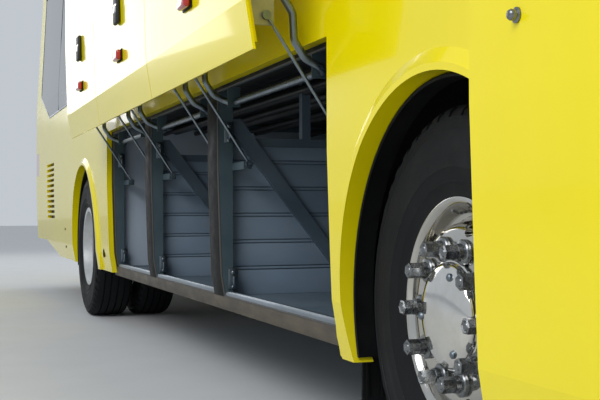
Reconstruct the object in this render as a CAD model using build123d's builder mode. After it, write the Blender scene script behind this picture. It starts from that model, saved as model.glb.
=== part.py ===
from build123d import *
from math import cos, radians, sin
import os

# A 12 m sleeper coach, standing level on its wheels. Millimetres; +X is forward, +Y its left, +Z up.
# The origin is on the ground, half-way along and across.

# Overall
LENGTH = 12000
WIDTH = 2500
ROOF_Z = 3450
NOSE_X = LENGTH / 2
TAIL_X = -LENGTH / 2
HALF = WIDTH / 2

# Axles and wheels
FRONT_AXLE_X = 3400
REAR_AXLE_X = -2470
TYRE_R = 532
TYRE_W = 292
RIM_R = 298
BARREL_R = 270
FRONT_TRACK_HALF = 1040
REAR_TRACK_HALF = 922
TWIN_SPACING = 330
STUD_COUNT = 10
STUD_CIRCLE_R = 170
STUD_TURN = 33.4
HAND_HOLE_R = 20
HAND_CIRCLE_R = 226
KINGPIN_Y = 880
KINGPIN_R = 26
KINGPIN_Z = 537
HUB_BORE_R = 47

# The side's section below the waist, as level and how far it stands in: it curves in, then breaks at a crease
WAIST_Z = 1900
CREASE_Z = 520
SKIRT_Z = 345
SIDE_CURVE = (
    # z, in
    (980, 0),
    (680, 9),
    (CREASE_Z, 15),
    (SKIRT_Z, 44),
)
REAR_SKIRT_Z = 385
TAIL_SKIRT_Z = 520

# Levels of the body
SEAM_Z = 1335
BELT_Z = 1725
GLASS_TOP_Z = 3020
SHOULDER_Z = 3330
SHOULDER_LEAN = 75
SHOULDER_R = 240
CANT_Z = 3080

# Walls
WALL = 45
GLASS = 8
FIT = 0.3

# Ends of the body
FRONT_BOW = 140
FRONT_CORNER_R = 260
REAR_CORNER_R = 300
FRONT_CUT_X = 5560
REAR_CUT_X = -5680

# Wheel arches, with a flare that rises to their edge
ARCH_Z = 545
FRONT_ARCH_R = 590
REAR_ARCH_R = 612
FLARE_W = 87
FLARE_OUT = 18
LINER_R = 690

# Luggage bays
BAY_FLOOR_Z = 425
FLOOR_SHEET = 12
HEADER_Z = 1319
POST_W = 168
POST_DEEP = 104
FRAME_IN = (38, 62)
SILL_LOW_Z = 363
WALL_TOP_Z = 1085
# Bays by the middle of the posts between them, rearmost first
POST_X = (-1387, -178, 1232, 2715)

# Luggage flaps, with a thin skin at their edges
FLAP_SKIN = 9
FLAP_T = 26
FLAP_EDGE = 26
FLAP_LOW_Z = 368
FLAP_TOP_Z = 1319
FLAP_GAP = 8

# Lift arms of the luggage flaps: pivot, reach and how far they swing
ARM_IN = 70
ARM_Z = 1255
ARM_REACH = 500
ARM_SWING = 146.4
ARM_TUBE_R = 13
# The arm's leg from its pivot to its eye, as reach and how far it is cranked to the inside
ARM_LEG = ((0, 0), (70, 45), (140, 45), (215, 0), (ARM_REACH - 45, 0))
ARM_BEND_R = 44
ARM_INSET = 90
BEARING_INSET = 150
# Link rods, as long as the arm's legs and parallel to them, so that the flap stays upright: foot, and eye on
# the shut flap; distance from the bay's rear and front end
LINK_IN = 120
LINK_HEAD = (LINK_IN, 495)
LINK_Z = LINK_HEAD[1] + ARM_REACH
LINK_REAR = 190
LINK_FRONT = 32
LINK_ROD_R = 6
EYE_R = 20
LINK_EYE_R = 15
LINK_WASHER_R = 11
TANG_T = 10
TANG_L = 62
PIN_R = 6
EYE_PLATE_T = 6

# Entry door, on the right ahead of the front wheel, parallel to the side on a swing arm
DOOR_REAR_X = 4850
DOOR_FRONT_X = 5540
DOOR_TOP_Z = 2700
DOOR_LOW_Z = 375
DOOR_GAP = 9
DOOR_ARM_REACH = 419.3
DOOR_ARM_SWING = 136.2
DOOR_POST_X = 4905
DOOR_POST_IN = 105
DOOR_ARM_R = 22
DOOR_ARM_Z = 900
DOOR_LUG_GAP = 40
DOOR_PIN_R = 10

# Cabin
CABIN_FLOOR_Z = 1450
CABIN_FLOOR_T = 50
CABIN_FRONT_X = 4300
DRIVER_FLOOR_Z = 950
DRIVER_Y = 640

os.makedirs("parts", exist_ok=True)


def save(shape, name):
    """Writes one node's solids under its name."""
    shape.label = name
    export_step(shape, f"parts/{name}.step")


def block(x0, x1, y0, y1, z0, z1, mode=Mode.ADD):
    """A box by its limits along each axis."""
    with Locations(((x0 + x1) / 2, (y0 + y1) / 2, (z0 + z1) / 2)):
        Box(x1 - x0, y1 - y0, z1 - z0, mode=mode)


def side_block(side, x0, x1, in0, in1, z0, z1, mode=Mode.ADD):
    """A box on one side, whose depths in0 and in1 are counted inward from the body's flat side."""
    near, far = sorted((side * (HALF - in0), side * (HALF - in1)))
    block(x0, x1, near, far, z0, z1, mode)


def rod(start, end, radius, mode=Mode.ADD):
    """A round bar from one point to another."""
    line = Vector(*end) - Vector(*start)
    with BuildSketch(Plane(origin=start, z_dir=line.normalized())) as disc:
        Circle(radius)
    extrude(disc.sketch, amount=line.length, mode=mode)


def side_prism(side, points, in0, in1):
    """A solid whose outline is drawn on the coach's side as (x, z), between two depths."""
    with BuildPart() as piece:
        with BuildSketch(Plane.XZ.offset(-side * (HALF - in0))):
            with BuildLine():
                Polyline(*points, close=True)
            make_face()
        extrude(amount=side * (in1 - in0))
    return piece.part


def side_in(z):
    """How far the side stands in at a level."""
    rows = ((WAIST_Z, 0),) + SIDE_CURVE
    for (high, in_high), (low, in_low) in zip(rows[:-1], rows[1:]):
        if z >= low or low == SKIRT_Z:
            return in_high + (in_low - in_high) * (high - z) / (high - low)


# The body's plan at each level: how far its front and its tail stand back from the longest point
LEVELS = (
    # z, front back, tail back
    (300, 110, 70),
    (620, 20, 10),
    (1000, 0, 0),
    (1360, 25, 0),
    (3060, 200, 70),
    (3500, 330, 150),
)
LOW_Z = 300


def body_form(inset):
    """The coach's closed outline, drawn in by inset on every side but below."""
    half = HALF - inset
    with BuildPart() as form:
        for z, front_back, tail_back in LEVELS:
            front = NOSE_X - front_back - inset
            tail = TAIL_X + tail_back + inset
            corner = front - FRONT_BOW
            with BuildSketch(Plane.XY.offset(z)) as plan:
                with BuildLine():
                    Polyline((corner, -half), (tail, -half), (tail, half), (corner, half))
                    ThreePointArc((corner, half), (front, 0), (corner, -half))
                make_face()
                ends = plan.vertices().group_by(Axis.X)
                fillet(ends[-1], FRONT_CORNER_R - inset)
                fillet(ends[0], REAR_CORNER_R - inset)
        loft(ruled=True)
        shoulder = half - SHOULDER_LEAN
        wall = [(half - side_in(z), z) for z in (WAIST_Z, 980, 680, CREASE_Z, LOW_Z)]
        top = (shoulder, SHOULDER_Z - inset)
        with BuildSketch(Plane.YZ) as section:
            with BuildLine():
                Polyline(top, *wall, *[(-y, z) for y, z in reversed(wall)], (-top[0], top[1]))
                ThreePointArc((-top[0], top[1]), (0, ROOF_Z - inset), top)
            make_face()
            tops = section.vertices().group_by(Axis.Y)[-1]
            fillet(tops, SHOULDER_R - inset)
        extrude(amount=LENGTH / 2 + 100, both=True, mode=Mode.INTERSECT)
    return form.part


outer = body_form(0)
glazed = body_form(GLASS)
inner = body_form(WALL)
flared = body_form(-FLARE_OUT)

with BuildPart() as shell_build:
    add(outer)
    add(inner, mode=Mode.SUBTRACT)
shell = shell_build.part


def rebate(*boxes):
    """What a rebate for glass takes away: the boxes, down to the glass's own thickness."""
    with BuildPart() as piece:
        for box in boxes:
            block(*box)
        add(glazed, mode=Mode.SUBTRACT)
    return piece.part


def pane(box):
    """A glass pane: the shell's outer layer inside a box, clear of the rebate's edge."""
    with BuildPart() as piece:
        block(*shrunk(box, FIT))
        add(outer, mode=Mode.INTERSECT)
        add(glazed, mode=Mode.SUBTRACT)
    return piece.part


def shrunk(box, gap):
    """A box drawn in by a gap across and in height, with its lengthwise limits kept."""
    x0, x1, y0, y1, z0, z1 = box
    return (x0, x1, y0 + gap, y1 - gap, z0 + gap, z1 - gap)


# Roof, and the seams at which the shell is split into panels
BROW = 60
with BuildPart() as roof:
    block(-6200, FRONT_CUT_X - BROW, -1300, 1300, CANT_Z, 3600)
    add(shell, mode=Mode.INTERSECT)
save(roof.part, "roof")

# Front panel with its windscreen, headlamps and grille bars
SCREEN_BOX = (FRONT_CUT_X, 6200, -1130, 1130, 1400, CANT_Z - 60)
REBATE = 30
LAMP_Y = (640, 1180)
LAMP_Z = (700, 900)
GRILLE_HALF = 520
GRILLE_Z = (700, 1000)
GRILLE_BARS = 5


def headlamp_box(side, gap=0):
    """The limits of a headlamp's pocket on one side, drawn in by a gap."""
    low, high = sorted((side * (LAMP_Y[0] + gap), side * (LAMP_Y[1] - gap)))
    return (FRONT_CUT_X + 20 + gap, 6300, low, high, LAMP_Z[0] + gap, LAMP_Z[1] - gap)


screen_rebate = rebate(SCREEN_BOX)
with BuildPart() as front_panel:
    block(FRONT_CUT_X, 6200, -1300, 1300, 0, 3600)
    block(FRONT_CUT_X - BROW, FRONT_CUT_X, -1300, 1300, CANT_Z, 3600)
    add(shell, mode=Mode.INTERSECT)
    block(*shrunk(SCREEN_BOX, REBATE), mode=Mode.SUBTRACT)
    add(screen_rebate, mode=Mode.SUBTRACT)
    block(NOSE_X - 600, 6200, -GRILLE_HALF, GRILLE_HALF, *GRILLE_Z, mode=Mode.SUBTRACT)
    for bar in range(GRILLE_BARS):
        bar_z = GRILLE_Z[0] + 25 + bar * 60
        block(NOSE_X - 62, NOSE_X - 40, -GRILLE_HALF - 10, GRILLE_HALF + 10, bar_z - 12, bar_z + 12)
    for side in (-1, 1):
        block(*headlamp_box(side), mode=Mode.SUBTRACT)
save(front_panel.part, "front_panel")
save(pane(SCREEN_BOX), "windscreen")

with BuildPart() as headlamps:
    for side in (-1, 1):
        block(*headlamp_box(side, FIT))
    add(shell, mode=Mode.INTERSECT)
save(headlamps.part, "headlamps")

# Rear panel with its window, number recess and tail lamps
REAR_WINDOW_BOX = (-6200, REAR_CUT_X, -1000, 1000, 2060, 2900)
NUMBER_BOX = (TAIL_X - 50, TAIL_X + 12, -260, 260, 640, 760)
TAIL_LAMP_Y = 1000
TAIL_LAMP_Z = (1180, 1420)


def tail_lamp_box(side, gap=0):
    """The limits of a tail lamp's pocket round the corner of one side, drawn in by a gap."""
    low, high = sorted((side * (TAIL_LAMP_Y + gap), side * 1300))
    return (-6200, REAR_CUT_X - 40 - gap, low, high, TAIL_LAMP_Z[0] + gap, TAIL_LAMP_Z[1] - gap)


lamp_out = body_form(20)
tail_pockets = []
for side in (-1, 1):
    with BuildPart() as pocket:
        block(*tail_lamp_box(side))
        add(lamp_out, mode=Mode.SUBTRACT)
    tail_pockets.append(pocket.part)
with BuildPart() as tail_lamps:
    for side in (-1, 1):
        block(*tail_lamp_box(side, FIT))
    add(outer, mode=Mode.INTERSECT)
    add(lamp_out, mode=Mode.SUBTRACT)
save(tail_lamps.part, "tail_lamps")

rear_rebate = rebate(REAR_WINDOW_BOX)
with BuildPart() as rear_panel:
    block(-6200, REAR_CUT_X, -1300, 1300, TAIL_SKIRT_Z, CANT_Z)
    add(shell, mode=Mode.INTERSECT)
    block(*shrunk(REAR_WINDOW_BOX, REBATE), mode=Mode.SUBTRACT)
    add(rear_rebate, mode=Mode.SUBTRACT)
    for pocket in tail_pockets:
        add(pocket, mode=Mode.SUBTRACT)
    block(*NUMBER_BOX, mode=Mode.SUBTRACT)
save(rear_panel.part, "rear_panel")
save(pane(REAR_WINDOW_BOX), "rear_glass")

# Side windows: panes bonded in one recessed band, with pillars behind their joints; the band's lower edge
# climbs at its rear end
BAND_REAR = (-5540, 2000)
BAND_LOW_X = -4730
BAND_END_X = DOOR_REAR_X - 30
PANE_COUNT = 7
PANE_GAP = 12
PILLAR_W = 90
PANE_PITCH = (BAND_END_X - BAND_REAR[0]) / PANE_COUNT


def band_low(x):
    """The level of the window band's lower edge."""
    climb = (BAND_REAR[1] - BELT_Z) / (BAND_LOW_X - BAND_REAR[0])
    return BELT_Z + max(0, BAND_LOW_X - x) * climb


def band_outline(x0, x1, edge=0):
    """The outline of the band between two places along the coach, drawn in by an edge below and above."""
    low = [(x0, band_low(x0) + edge), (x1, band_low(x1) + edge)]
    if x0 < BAND_LOW_X < x1:
        low.insert(1, (BAND_LOW_X, BELT_Z + edge))
    return low + [(x1, GLASS_TOP_Z - edge), (x0, GLASS_TOP_Z - edge)]


DRIVER_WINDOW = ((DOOR_REAR_X + 60, 1600), (DOOR_FRONT_X - 40, 1600), (DOOR_FRONT_X - 40, 2500), (DOOR_REAR_X + 60, 2500))
GLASS_REACH = (-50, 250)
LOUVRE_X = (-4993, -4402)
LOUVRE_Z = (738, 1287)
LOUVRE_COUNT = 11
LOUVRE_OPEN = 0.55
LATCH_HOLE = (-1602, 510)
LATCH_HOLE_R = 26

with BuildPart() as side_glass:
    for side in (-1, 1):
        for number in range(PANE_COUNT):
            x0 = BAND_REAR[0] + number * PANE_PITCH + PANE_GAP / 2
            add(side_prism(side, band_outline(x0, x0 + PANE_PITCH - PANE_GAP), *GLASS_REACH))
    add(side_prism(1, DRIVER_WINDOW, *GLASS_REACH))
    add(outer, mode=Mode.INTERSECT)
    add(glazed, mode=Mode.SUBTRACT)
save(side_glass.part, "side_glass")



def flares(side):
    """The wide lips round one side's wheel arches, which follow the side's curve."""
    with BuildPart() as lips:
        for axle_x, arch_r in ((FRONT_AXLE_X + 20, FRONT_ARCH_R), (REAR_AXLE_X, REAR_ARCH_R)):
            with Locations(Location((axle_x, side * (HALF - WALL), ARCH_Z), (-side * 90, 0, 0))):
                Cylinder(arch_r + FLARE_W, WALL - 15, align=(Align.CENTER, Align.CENTER, Align.MIN))
            with Locations(Location((axle_x, side * (HALF - 15), ARCH_Z), (-side * 90, 0, 0))):
                Cone(arch_r + FLARE_W, arch_r + 8, FLARE_OUT + 20, align=(Align.CENTER, Align.CENTER, Align.MIN))
        add(flared, mode=Mode.INTERSECT)
    return lips.part


for side, name in ((-1, "right"), (1, "left")):
    y_near, y_far = sorted((side * 1300, side * 600))
    with BuildPart() as band:
        add(side_prism(side, band_outline(BAND_REAR[0], BAND_END_X), *GLASS_REACH))
        add(glazed, mode=Mode.SUBTRACT)
    with BuildPart() as upper:
        block(REAR_CUT_X, FRONT_CUT_X, y_near, y_far, SEAM_Z, CANT_Z)
        add(shell, mode=Mode.INTERSECT)
        for number in range(PANE_COUNT):
            x0 = BAND_REAR[0] + number * PANE_PITCH + PILLAR_W / 2
            add(side_prism(side, band_outline(x0, x0 + PANE_PITCH - PILLAR_W, REBATE), *GLASS_REACH), mode=Mode.SUBTRACT)
        add(band.part, mode=Mode.SUBTRACT)
        if side < 0:
            block(DOOR_REAR_X, DOOR_FRONT_X, y_near, y_far, SEAM_Z - 5, DOOR_TOP_Z, mode=Mode.SUBTRACT)
            # The header over the door and the strip ahead of it are panels of their own
            block(DOOR_REAR_X - FIT, DOOR_REAR_X, y_near, y_far, SEAM_Z, CANT_Z, mode=Mode.SUBTRACT)
            block(DOOR_REAR_X, FRONT_CUT_X, y_near, y_far, DOOR_TOP_Z, DOOR_TOP_Z + FIT, mode=Mode.SUBTRACT)
        else:
            add(side_prism(side, DRIVER_WINDOW, *GLASS_REACH), mode=Mode.SUBTRACT)
    save(upper.part, f"upper_side_{name}")

    # Wing over the front wheel, the short panel before the rear wheel and the quarter behind it
    wing_end = DOOR_REAR_X if side < 0 else FRONT_CUT_X
    with BuildPart() as lower:
        block(POST_X[3], wing_end, y_near, y_far, SKIRT_Z, SEAM_Z)
        block(REAR_CUT_X, POST_X[0], y_near, y_far, REAR_SKIRT_Z, SEAM_Z)
        if side < 0:
            block(DOOR_FRONT_X, FRONT_CUT_X, y_near, y_far, SKIRT_Z, SEAM_Z)
        add(shell, mode=Mode.INTERSECT)
        add(flares(side))
        for axle_x, arch_r in ((FRONT_AXLE_X + 20, FRONT_ARCH_R), (REAR_AXLE_X, REAR_ARCH_R)):
            with BuildSketch(Plane.XZ):
                with Locations((axle_x, ARCH_Z)):
                    Circle(arch_r)
            extrude(amount=1400, both=True, mode=Mode.SUBTRACT)
        block(0, 6300, -1400, 1400, -400, SKIRT_Z, mode=Mode.SUBTRACT)
        block(-6300, 0, -1400, 1400, -400, REAR_SKIRT_Z, mode=Mode.SUBTRACT)
        # The tail's lower edge climbs towards the back
        add(side_prism(side, ((-6300, 300), (-4200, 300), (-4200, REAR_SKIRT_Z), (-5100, TAIL_SKIRT_Z),
                              (-6300, TAIL_SKIRT_Z)), -100, 700), mode=Mode.SUBTRACT)
        pitch = (LOUVRE_Z[1] - LOUVRE_Z[0]) / LOUVRE_COUNT
        for slot in range(LOUVRE_COUNT):
            z = LOUVRE_Z[0] + slot * pitch
            block(*LOUVRE_X, y_near, y_far, z, z + pitch * LOUVRE_OPEN, mode=Mode.SUBTRACT)
        with BuildSketch(Plane.XZ):
            with Locations(LATCH_HOLE):
                Circle(LATCH_HOLE_R)
        extrude(amount=1400, both=True, mode=Mode.SUBTRACT)
    save(lower.part, f"side_panels_{name}")

# Luggage bays: frames round the openings, posts and brackets as welded pieces, plank walls, floor
BAY_X = [(POST_X[i] + POST_W / 2, POST_X[i + 1] - POST_W / 2) for i in range(3)]
FLOOR_UNDER_Z = CABIN_FLOOR_Z - CABIN_FLOOR_T
for side, name in ((-1, "right"), (1, "left")):
    with BuildPart() as bay_frame:
        # Header and sill strips, and the posts, whose faces follow the side's curve
        side_block(side, POST_X[0], POST_X[3], *FRAME_IN, HEADER_Z, SEAM_Z)
        with BuildSketch(Plane.YZ.offset(POST_X[0])):
            with BuildLine():
                Polyline(*[(side * (HALF - depth - side_in(z)), z) for depth, z in (
                    (FRAME_IN[0], BAY_FLOOR_Z), (FRAME_IN[0], SILL_LOW_Z), (FRAME_IN[1], SILL_LOW_Z),
                    (FRAME_IN[1], BAY_FLOOR_Z))], close=True)
            make_face()
        extrude(amount=POST_X[3] - POST_X[0])
        post_face = [(side_in(z) + FRAME_IN[0], z) for z in (HEADER_Z - FIT, 980, 680, CREASE_Z, BAY_FLOOR_Z + FIT)]
        post_back = [(POST_DEEP, BAY_FLOOR_Z + FIT), (POST_DEEP, HEADER_Z - FIT)]
        for post in POST_X:
            x0 = max(post - POST_W / 2, POST_X[0])
            x1 = min(post + POST_W / 2, POST_X[3])
            with BuildSketch(Plane.YZ.offset(x0)):
                with BuildLine():
                    Polyline(*[(side * (HALF - depth), z) for depth, z in post_face + post_back], close=True)
                make_face()
            extrude(amount=x1 - x0)
            side_block(side, x0, x1, FRAME_IN[1] + FIT, POST_DEEP, HEADER_Z, FLOOR_UNDER_Z - FIT)
        for x0, x1 in BAY_X:
            # Bearing plates for the arm's cross tube
            for plate in (x0 + BEARING_INSET, x1 - BEARING_INSET):
                side_block(side, plate - 3, plate + 3, FRAME_IN[0], ARM_IN + 22, ARM_Z - 20, HEADER_Z - FIT)
                with BuildSketch(Plane.YZ.offset(plate - 10)):
                    with Locations((side * (HALF - ARM_IN), ARM_Z)):
                        Circle(ARM_TUBE_R + FIT)
                extrude(amount=20, mode=Mode.SUBTRACT)
            if side > 0:
                continue
            # Feet of the link rods: an arm from the post, with its pin
            for end, link_x in ((x0 + FIT, x0 + LINK_REAR), (x1 - FIT, x1 - LINK_FRONT)):
                toward = 1 if link_x > end else -1
                stop = link_x - toward * 16
                foot0, foot1 = sorted((end, stop))
                side_block(side, foot0, foot1, LINK_IN - 20, LINK_IN + 16, LINK_Z - 22, LINK_Z + 10)
                pin0, pin1 = sorted((stop - toward * 4, link_x + toward * (TANG_T / 2 + 8)))
                with BuildSketch(Plane.YZ.offset(pin0)):
                    with Locations((side * (HALF - LINK_IN), LINK_Z)):
                        Circle(PIN_R)
                extrude(amount=pin1 - pin0)
    save(bay_frame.part, f"bay_frame_{name}")

PLANK = 118
BRACE_W = 42
with BuildPart() as bay_walls:
    block(POST_X[0], POST_X[3], -(HALF - 96), HALF - 96, BAY_FLOOR_Z - FLOOR_SHEET, BAY_FLOOR_Z)
    wall_half = HALF - POST_DEEP - 2
    for post in POST_X[1:3]:
        block(post - 20, post + 20, -wall_half, wall_half, BAY_FLOOR_Z, WALL_TOP_Z)
    for post, x0 in ((POST_X[0], POST_X[0]), (POST_X[3], POST_X[3] - 30)):
        block(x0, x0 + 30, -wall_half, wall_half, BAY_FLOOR_Z, FLOOR_UNDER_Z - FIT)
    for post in POST_X[1:3]:
        for row in range(1, 6):
            z = BAY_FLOOR_Z + row * PLANK
            for face in (post - 20, post + 20):
                block(face - 3, face + 3, -1300, 1300, z - 3, z + 3, mode=Mode.SUBTRACT)
        # Diagonal brace on the front of each wall, one to a side
        for side in (-1, 1):
            with BuildSketch(Plane.YZ.offset(post + 20)):
                with BuildLine():
                    Polyline((side * 1140, WALL_TOP_Z + 60), (side * 1140, WALL_TOP_Z + 118),
                             (side * 1100, WALL_TOP_Z + 118), (side * 500, BAY_FLOOR_Z), (side * 566, BAY_FLOOR_Z), close=True)
                make_face()
            extrude(amount=28)
        block(post - 20, post + 20, -wall_half, wall_half, WALL_TOP_Z, WALL_TOP_Z + 36)
        for y in (-780, 780):
            block(post - 20, post + 20, y - 20, y + 20, WALL_TOP_Z, FLOOR_UNDER_Z - FIT)
save(bay_walls.part, "bay_walls")

# Cabin floor with the driver's platform and the entry steps, as separate welded pieces
STEP_IN = 100
STEP_BACK_X = DOOR_REAR_X - 60
STEP_RISE_T = 50
floor_half = HALF - WALL
low_half = floor_half - side_in(DRIVER_FLOOR_Z - 50) - FIT
with BuildPart() as cabin_floor:
    block(REAR_CUT_X + 20, CABIN_FRONT_X, -floor_half, floor_half, FLOOR_UNDER_Z, CABIN_FLOOR_Z)
    block(CABIN_FRONT_X - 50, CABIN_FRONT_X, -low_half, low_half, DRIVER_FLOOR_Z + FIT, FLOOR_UNDER_Z - FIT)
    block(CABIN_FRONT_X - 50, FRONT_CUT_X - 20, 60, low_half, DRIVER_FLOOR_Z - 50, DRIVER_FLOOR_Z)
    block(CABIN_FRONT_X - 50, STEP_BACK_X, -low_half, 60 - FIT, DRIVER_FLOOR_Z - 50, DRIVER_FLOOR_Z)
    block(STEP_BACK_X - STEP_RISE_T, STEP_BACK_X, -(HALF - STEP_IN), 60 - FIT, 400, DRIVER_FLOOR_Z - 50 - FIT)
    block(STEP_BACK_X - STEP_RISE_T, DOOR_FRONT_X, 60, 110, 400, DRIVER_FLOOR_Z - 50 - FIT)
    block(STEP_BACK_X + FIT, DOOR_FRONT_X, -(HALF - STEP_IN), 60 - FIT, 400, 440)
    block(STEP_BACK_X + FIT, DOOR_FRONT_X, -820, 60 - FIT, 440 + FIT, 610)
    block(STEP_BACK_X + FIT, DOOR_FRONT_X, -500, 60 - FIT, 610 + FIT, 780)
save(cabin_floor.part, "cabin_floor")

# Underframe: rails ahead of and behind the bays, cross tubes under them
RAIL_Y = 400
RAIL_W = 70
RAIL_Z = (780, 900)
LOW_RAIL_TOP = BAY_FLOOR_Z - FLOOR_SHEET
TOW_EYE_X = -5890
TOW_EYE_R = 21
CROSS_T = 50
with BuildPart() as underframe:
    for side in (-1, 1):
        y0, y1 = sorted((side * (RAIL_Y - RAIL_W / 2), side * (RAIL_Y + RAIL_W / 2)))
        block(POST_X[3], FRONT_CUT_X + 240 if side > 0 else STEP_BACK_X - 90, y0, y1, *RAIL_Z)
        block(-5750, POST_X[0], y0, y1, *RAIL_Z)
        block(POST_X[3] + FIT, POST_X[3] + 60, y0, y1, SKIRT_Z + 15, FLOOR_UNDER_Z - FIT)
        block(POST_X[0] - 60, POST_X[0] - FIT, y0, y1, SKIRT_Z + 15, FLOOR_UNDER_Z - FIT)
        block(POST_X[0], POST_X[3], y0, y1, SKIRT_Z + 15, LOW_RAIL_TOP)
    for x, y0 in ((2770, -RAIL_Y), (4130, -RAIL_Y), (5000, 112), (5690, 112)):
        block(x, x + 60, y0, RAIL_Y, RAIL_Z[0] + 10, RAIL_Z[1] - 10)
    for x in (-5750, -4200, -3350, -1550):
        block(x, x + 60, -RAIL_Y, RAIL_Y, RAIL_Z[0] + 10, RAIL_Z[1] - 10)
    for x in (POST_X[0] + 20, -800, POST_X[1] - 25, 500, POST_X[2] - 25, 1960, POST_X[3] - 70):
        block(x, x + CROSS_T, -(HALF - 112), HALF - 112, SKIRT_Z + 17, LOW_RAIL_TOP - 2)
    # Towing eye under the tail
    block(-5750, -5690, -60, 60, 440, RAIL_Z[1] - 10)
    block(TOW_EYE_X - 50, -5690, -60, 60, 440, 480)
    with Locations((TOW_EYE_X, 0, 460)):
        Cylinder(TOW_EYE_R, 60, mode=Mode.SUBTRACT)
    # Outriggers that carry the floor
    for x in (4130, -3350, -4200):
        for y in (-900, 900):
            block(x, x + 60, y - 30, y + 30, RAIL_Z[0] + 10, FLOOR_UNDER_Z - FIT)
        block(x, x + 60, -930, 930, 830, RAIL_Z[1] - 10)
save(underframe.part, "underframe")

# Wheel housings
liner_out = HALF - WALL - side_in(ARCH_Z) - FIT
with BuildPart() as arch_liners:
    for axle_x in (FRONT_AXLE_X + 20, REAR_AXLE_X):
        for side in (-1, 1):
            with BuildSketch(Plane.XZ.offset(-side * liner_out)):
                with Locations((axle_x, ARCH_Z)):
                    Circle(LINER_R)
                    Circle(LINER_R - 6, mode=Mode.SUBTRACT)
                with Locations((axle_x, ARCH_Z - 450)):
                    Rectangle(2 * LINER_R, 900, mode=Mode.SUBTRACT)
            extrude(amount=side * (liner_out - 520))
save(arch_liners.part, "arch_liners")

# Axles
BEAM_HALF = 45
SPRING_TOP_Z = RAIL_Z[0]
with BuildPart() as front_axle:
    with BuildSketch(Plane.YZ.offset(FRONT_AXLE_X)):
        with BuildLine():
            Polyline(
                (-KINGPIN_Y, 595), (-KINGPIN_Y, 475), (-640, 450), (-520, 360), (520, 360), (640, 450),
                (KINGPIN_Y, 475), (KINGPIN_Y, 595), (600, 560), (480, 470), (-480, 470), (-600, 560), close=True,
            )
        make_face()
    extrude(amount=BEAM_HALF, both=True)
    for side in (-1, 1):
        with Locations((FRONT_AXLE_X, side * KINGPIN_Y, KINGPIN_Z)):
            Cylinder(55, 140)
            Cylinder(KINGPIN_R + FIT, 200, mode=Mode.SUBTRACT)
        with Locations((FRONT_AXLE_X, side * RAIL_Y, (470 + SPRING_TOP_Z) / 2)):
            Cylinder(110, SPRING_TOP_Z - 470)
save(front_axle.part, "front_axle")

AXLE_END = 1055
with BuildPart() as rear_axle:
    with BuildSketch(Plane.XZ.offset(-AXLE_END)):
        with Locations((REAR_AXLE_X, TYRE_R)):
            Circle(HUB_BORE_R - FIT)
    extrude(amount=2 * AXLE_END)
    with BuildSketch(Plane.XZ.offset(-570)):
        with Locations((REAR_AXLE_X, TYRE_R)):
            Circle(85)
    extrude(amount=1140)
    with Locations((REAR_AXLE_X, 0, TYRE_R)):
        Sphere(215)
    rod((REAR_AXLE_X, 0, TYRE_R + 20), (-4190, 0, 700), 45)
    for side in (-1, 1):
        for x in (REAR_AXLE_X - 330, REAR_AXLE_X + 330):
            with Locations((x, side * RAIL_Y, (600 + SPRING_TOP_Z) / 2)):
                Cylinder(125, SPRING_TOP_Z - 600)
        block(REAR_AXLE_X - 420, REAR_AXLE_X + 420, side * RAIL_Y - 50, side * RAIL_Y + 50, 560, 602)
save(rear_axle.part, "rear_axle")

FORK_LOW = KINGPIN_Z - 118
FORK_HIGH = KINGPIN_Z + 118
for side, name in ((-1, "right"), (1, "left")):
    with BuildPart() as knuckle:
        with Locations((FRONT_AXLE_X, side * KINGPIN_Y, KINGPIN_Z)):
            Cylinder(KINGPIN_R, 290)
        near, far = sorted((side * KINGPIN_Y, side * (KINGPIN_Y + 85)))
        for z in (FORK_LOW, FORK_HIGH):
            with Locations((FRONT_AXLE_X, side * KINGPIN_Y, z)):
                Cylinder(50, 48)
            block(FRONT_AXLE_X - 45, FRONT_AXLE_X + 45, near, far, z - 24, z + 24)
        near, far = sorted((side * (KINGPIN_Y + 62), side * (KINGPIN_Y + 85)))
        block(FRONT_AXLE_X - 75, FRONT_AXLE_X + 75, near, far, FORK_LOW - 24, FORK_HIGH + 24)
        rod((FRONT_AXLE_X, side * (KINGPIN_Y + 70), TYRE_R), (FRONT_AXLE_X, side * (FRONT_TRACK_HALF + 60), TYRE_R),
            HUB_BORE_R - FIT)
        rod((FRONT_AXLE_X - 20, side * KINGPIN_Y, FORK_LOW), (FRONT_AXLE_X - 230, side * (KINGPIN_Y - 60), FORK_LOW), 20)
    save(knuckle.part, f"knuckle_{name}")

# Tyres, by half the section
TYRE_HALF = (
    # across, radius
    (108, RIM_R - 12),
    (122, RIM_R + 6),
    (TYRE_W / 2, 405),
    (TYRE_W / 2 - 6, 460),
    (TYRE_W / 2 - 16, TYRE_R - 22),
    (TYRE_W / 2 - 34, TYRE_R - 6),
    (0, TYRE_R),
)


def tyre_solid(axle_x, y):
    """A tyre round the wheel whose middle is at y."""
    plane = Plane(origin=(axle_x, y, TYRE_R), x_dir=(0, 1, 0), z_dir=(1, 0, 0))
    with BuildPart() as tyre:
        with BuildSketch(plane):
            with BuildLine():
                Polyline(*TYRE_HALF, *[(-across, radius) for across, radius in reversed(TYRE_HALF[:-1])], close=True)
            make_face()
        revolve(axis=Axis(plane.origin, (0, 1, 0)))
    return tyre.part


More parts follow.
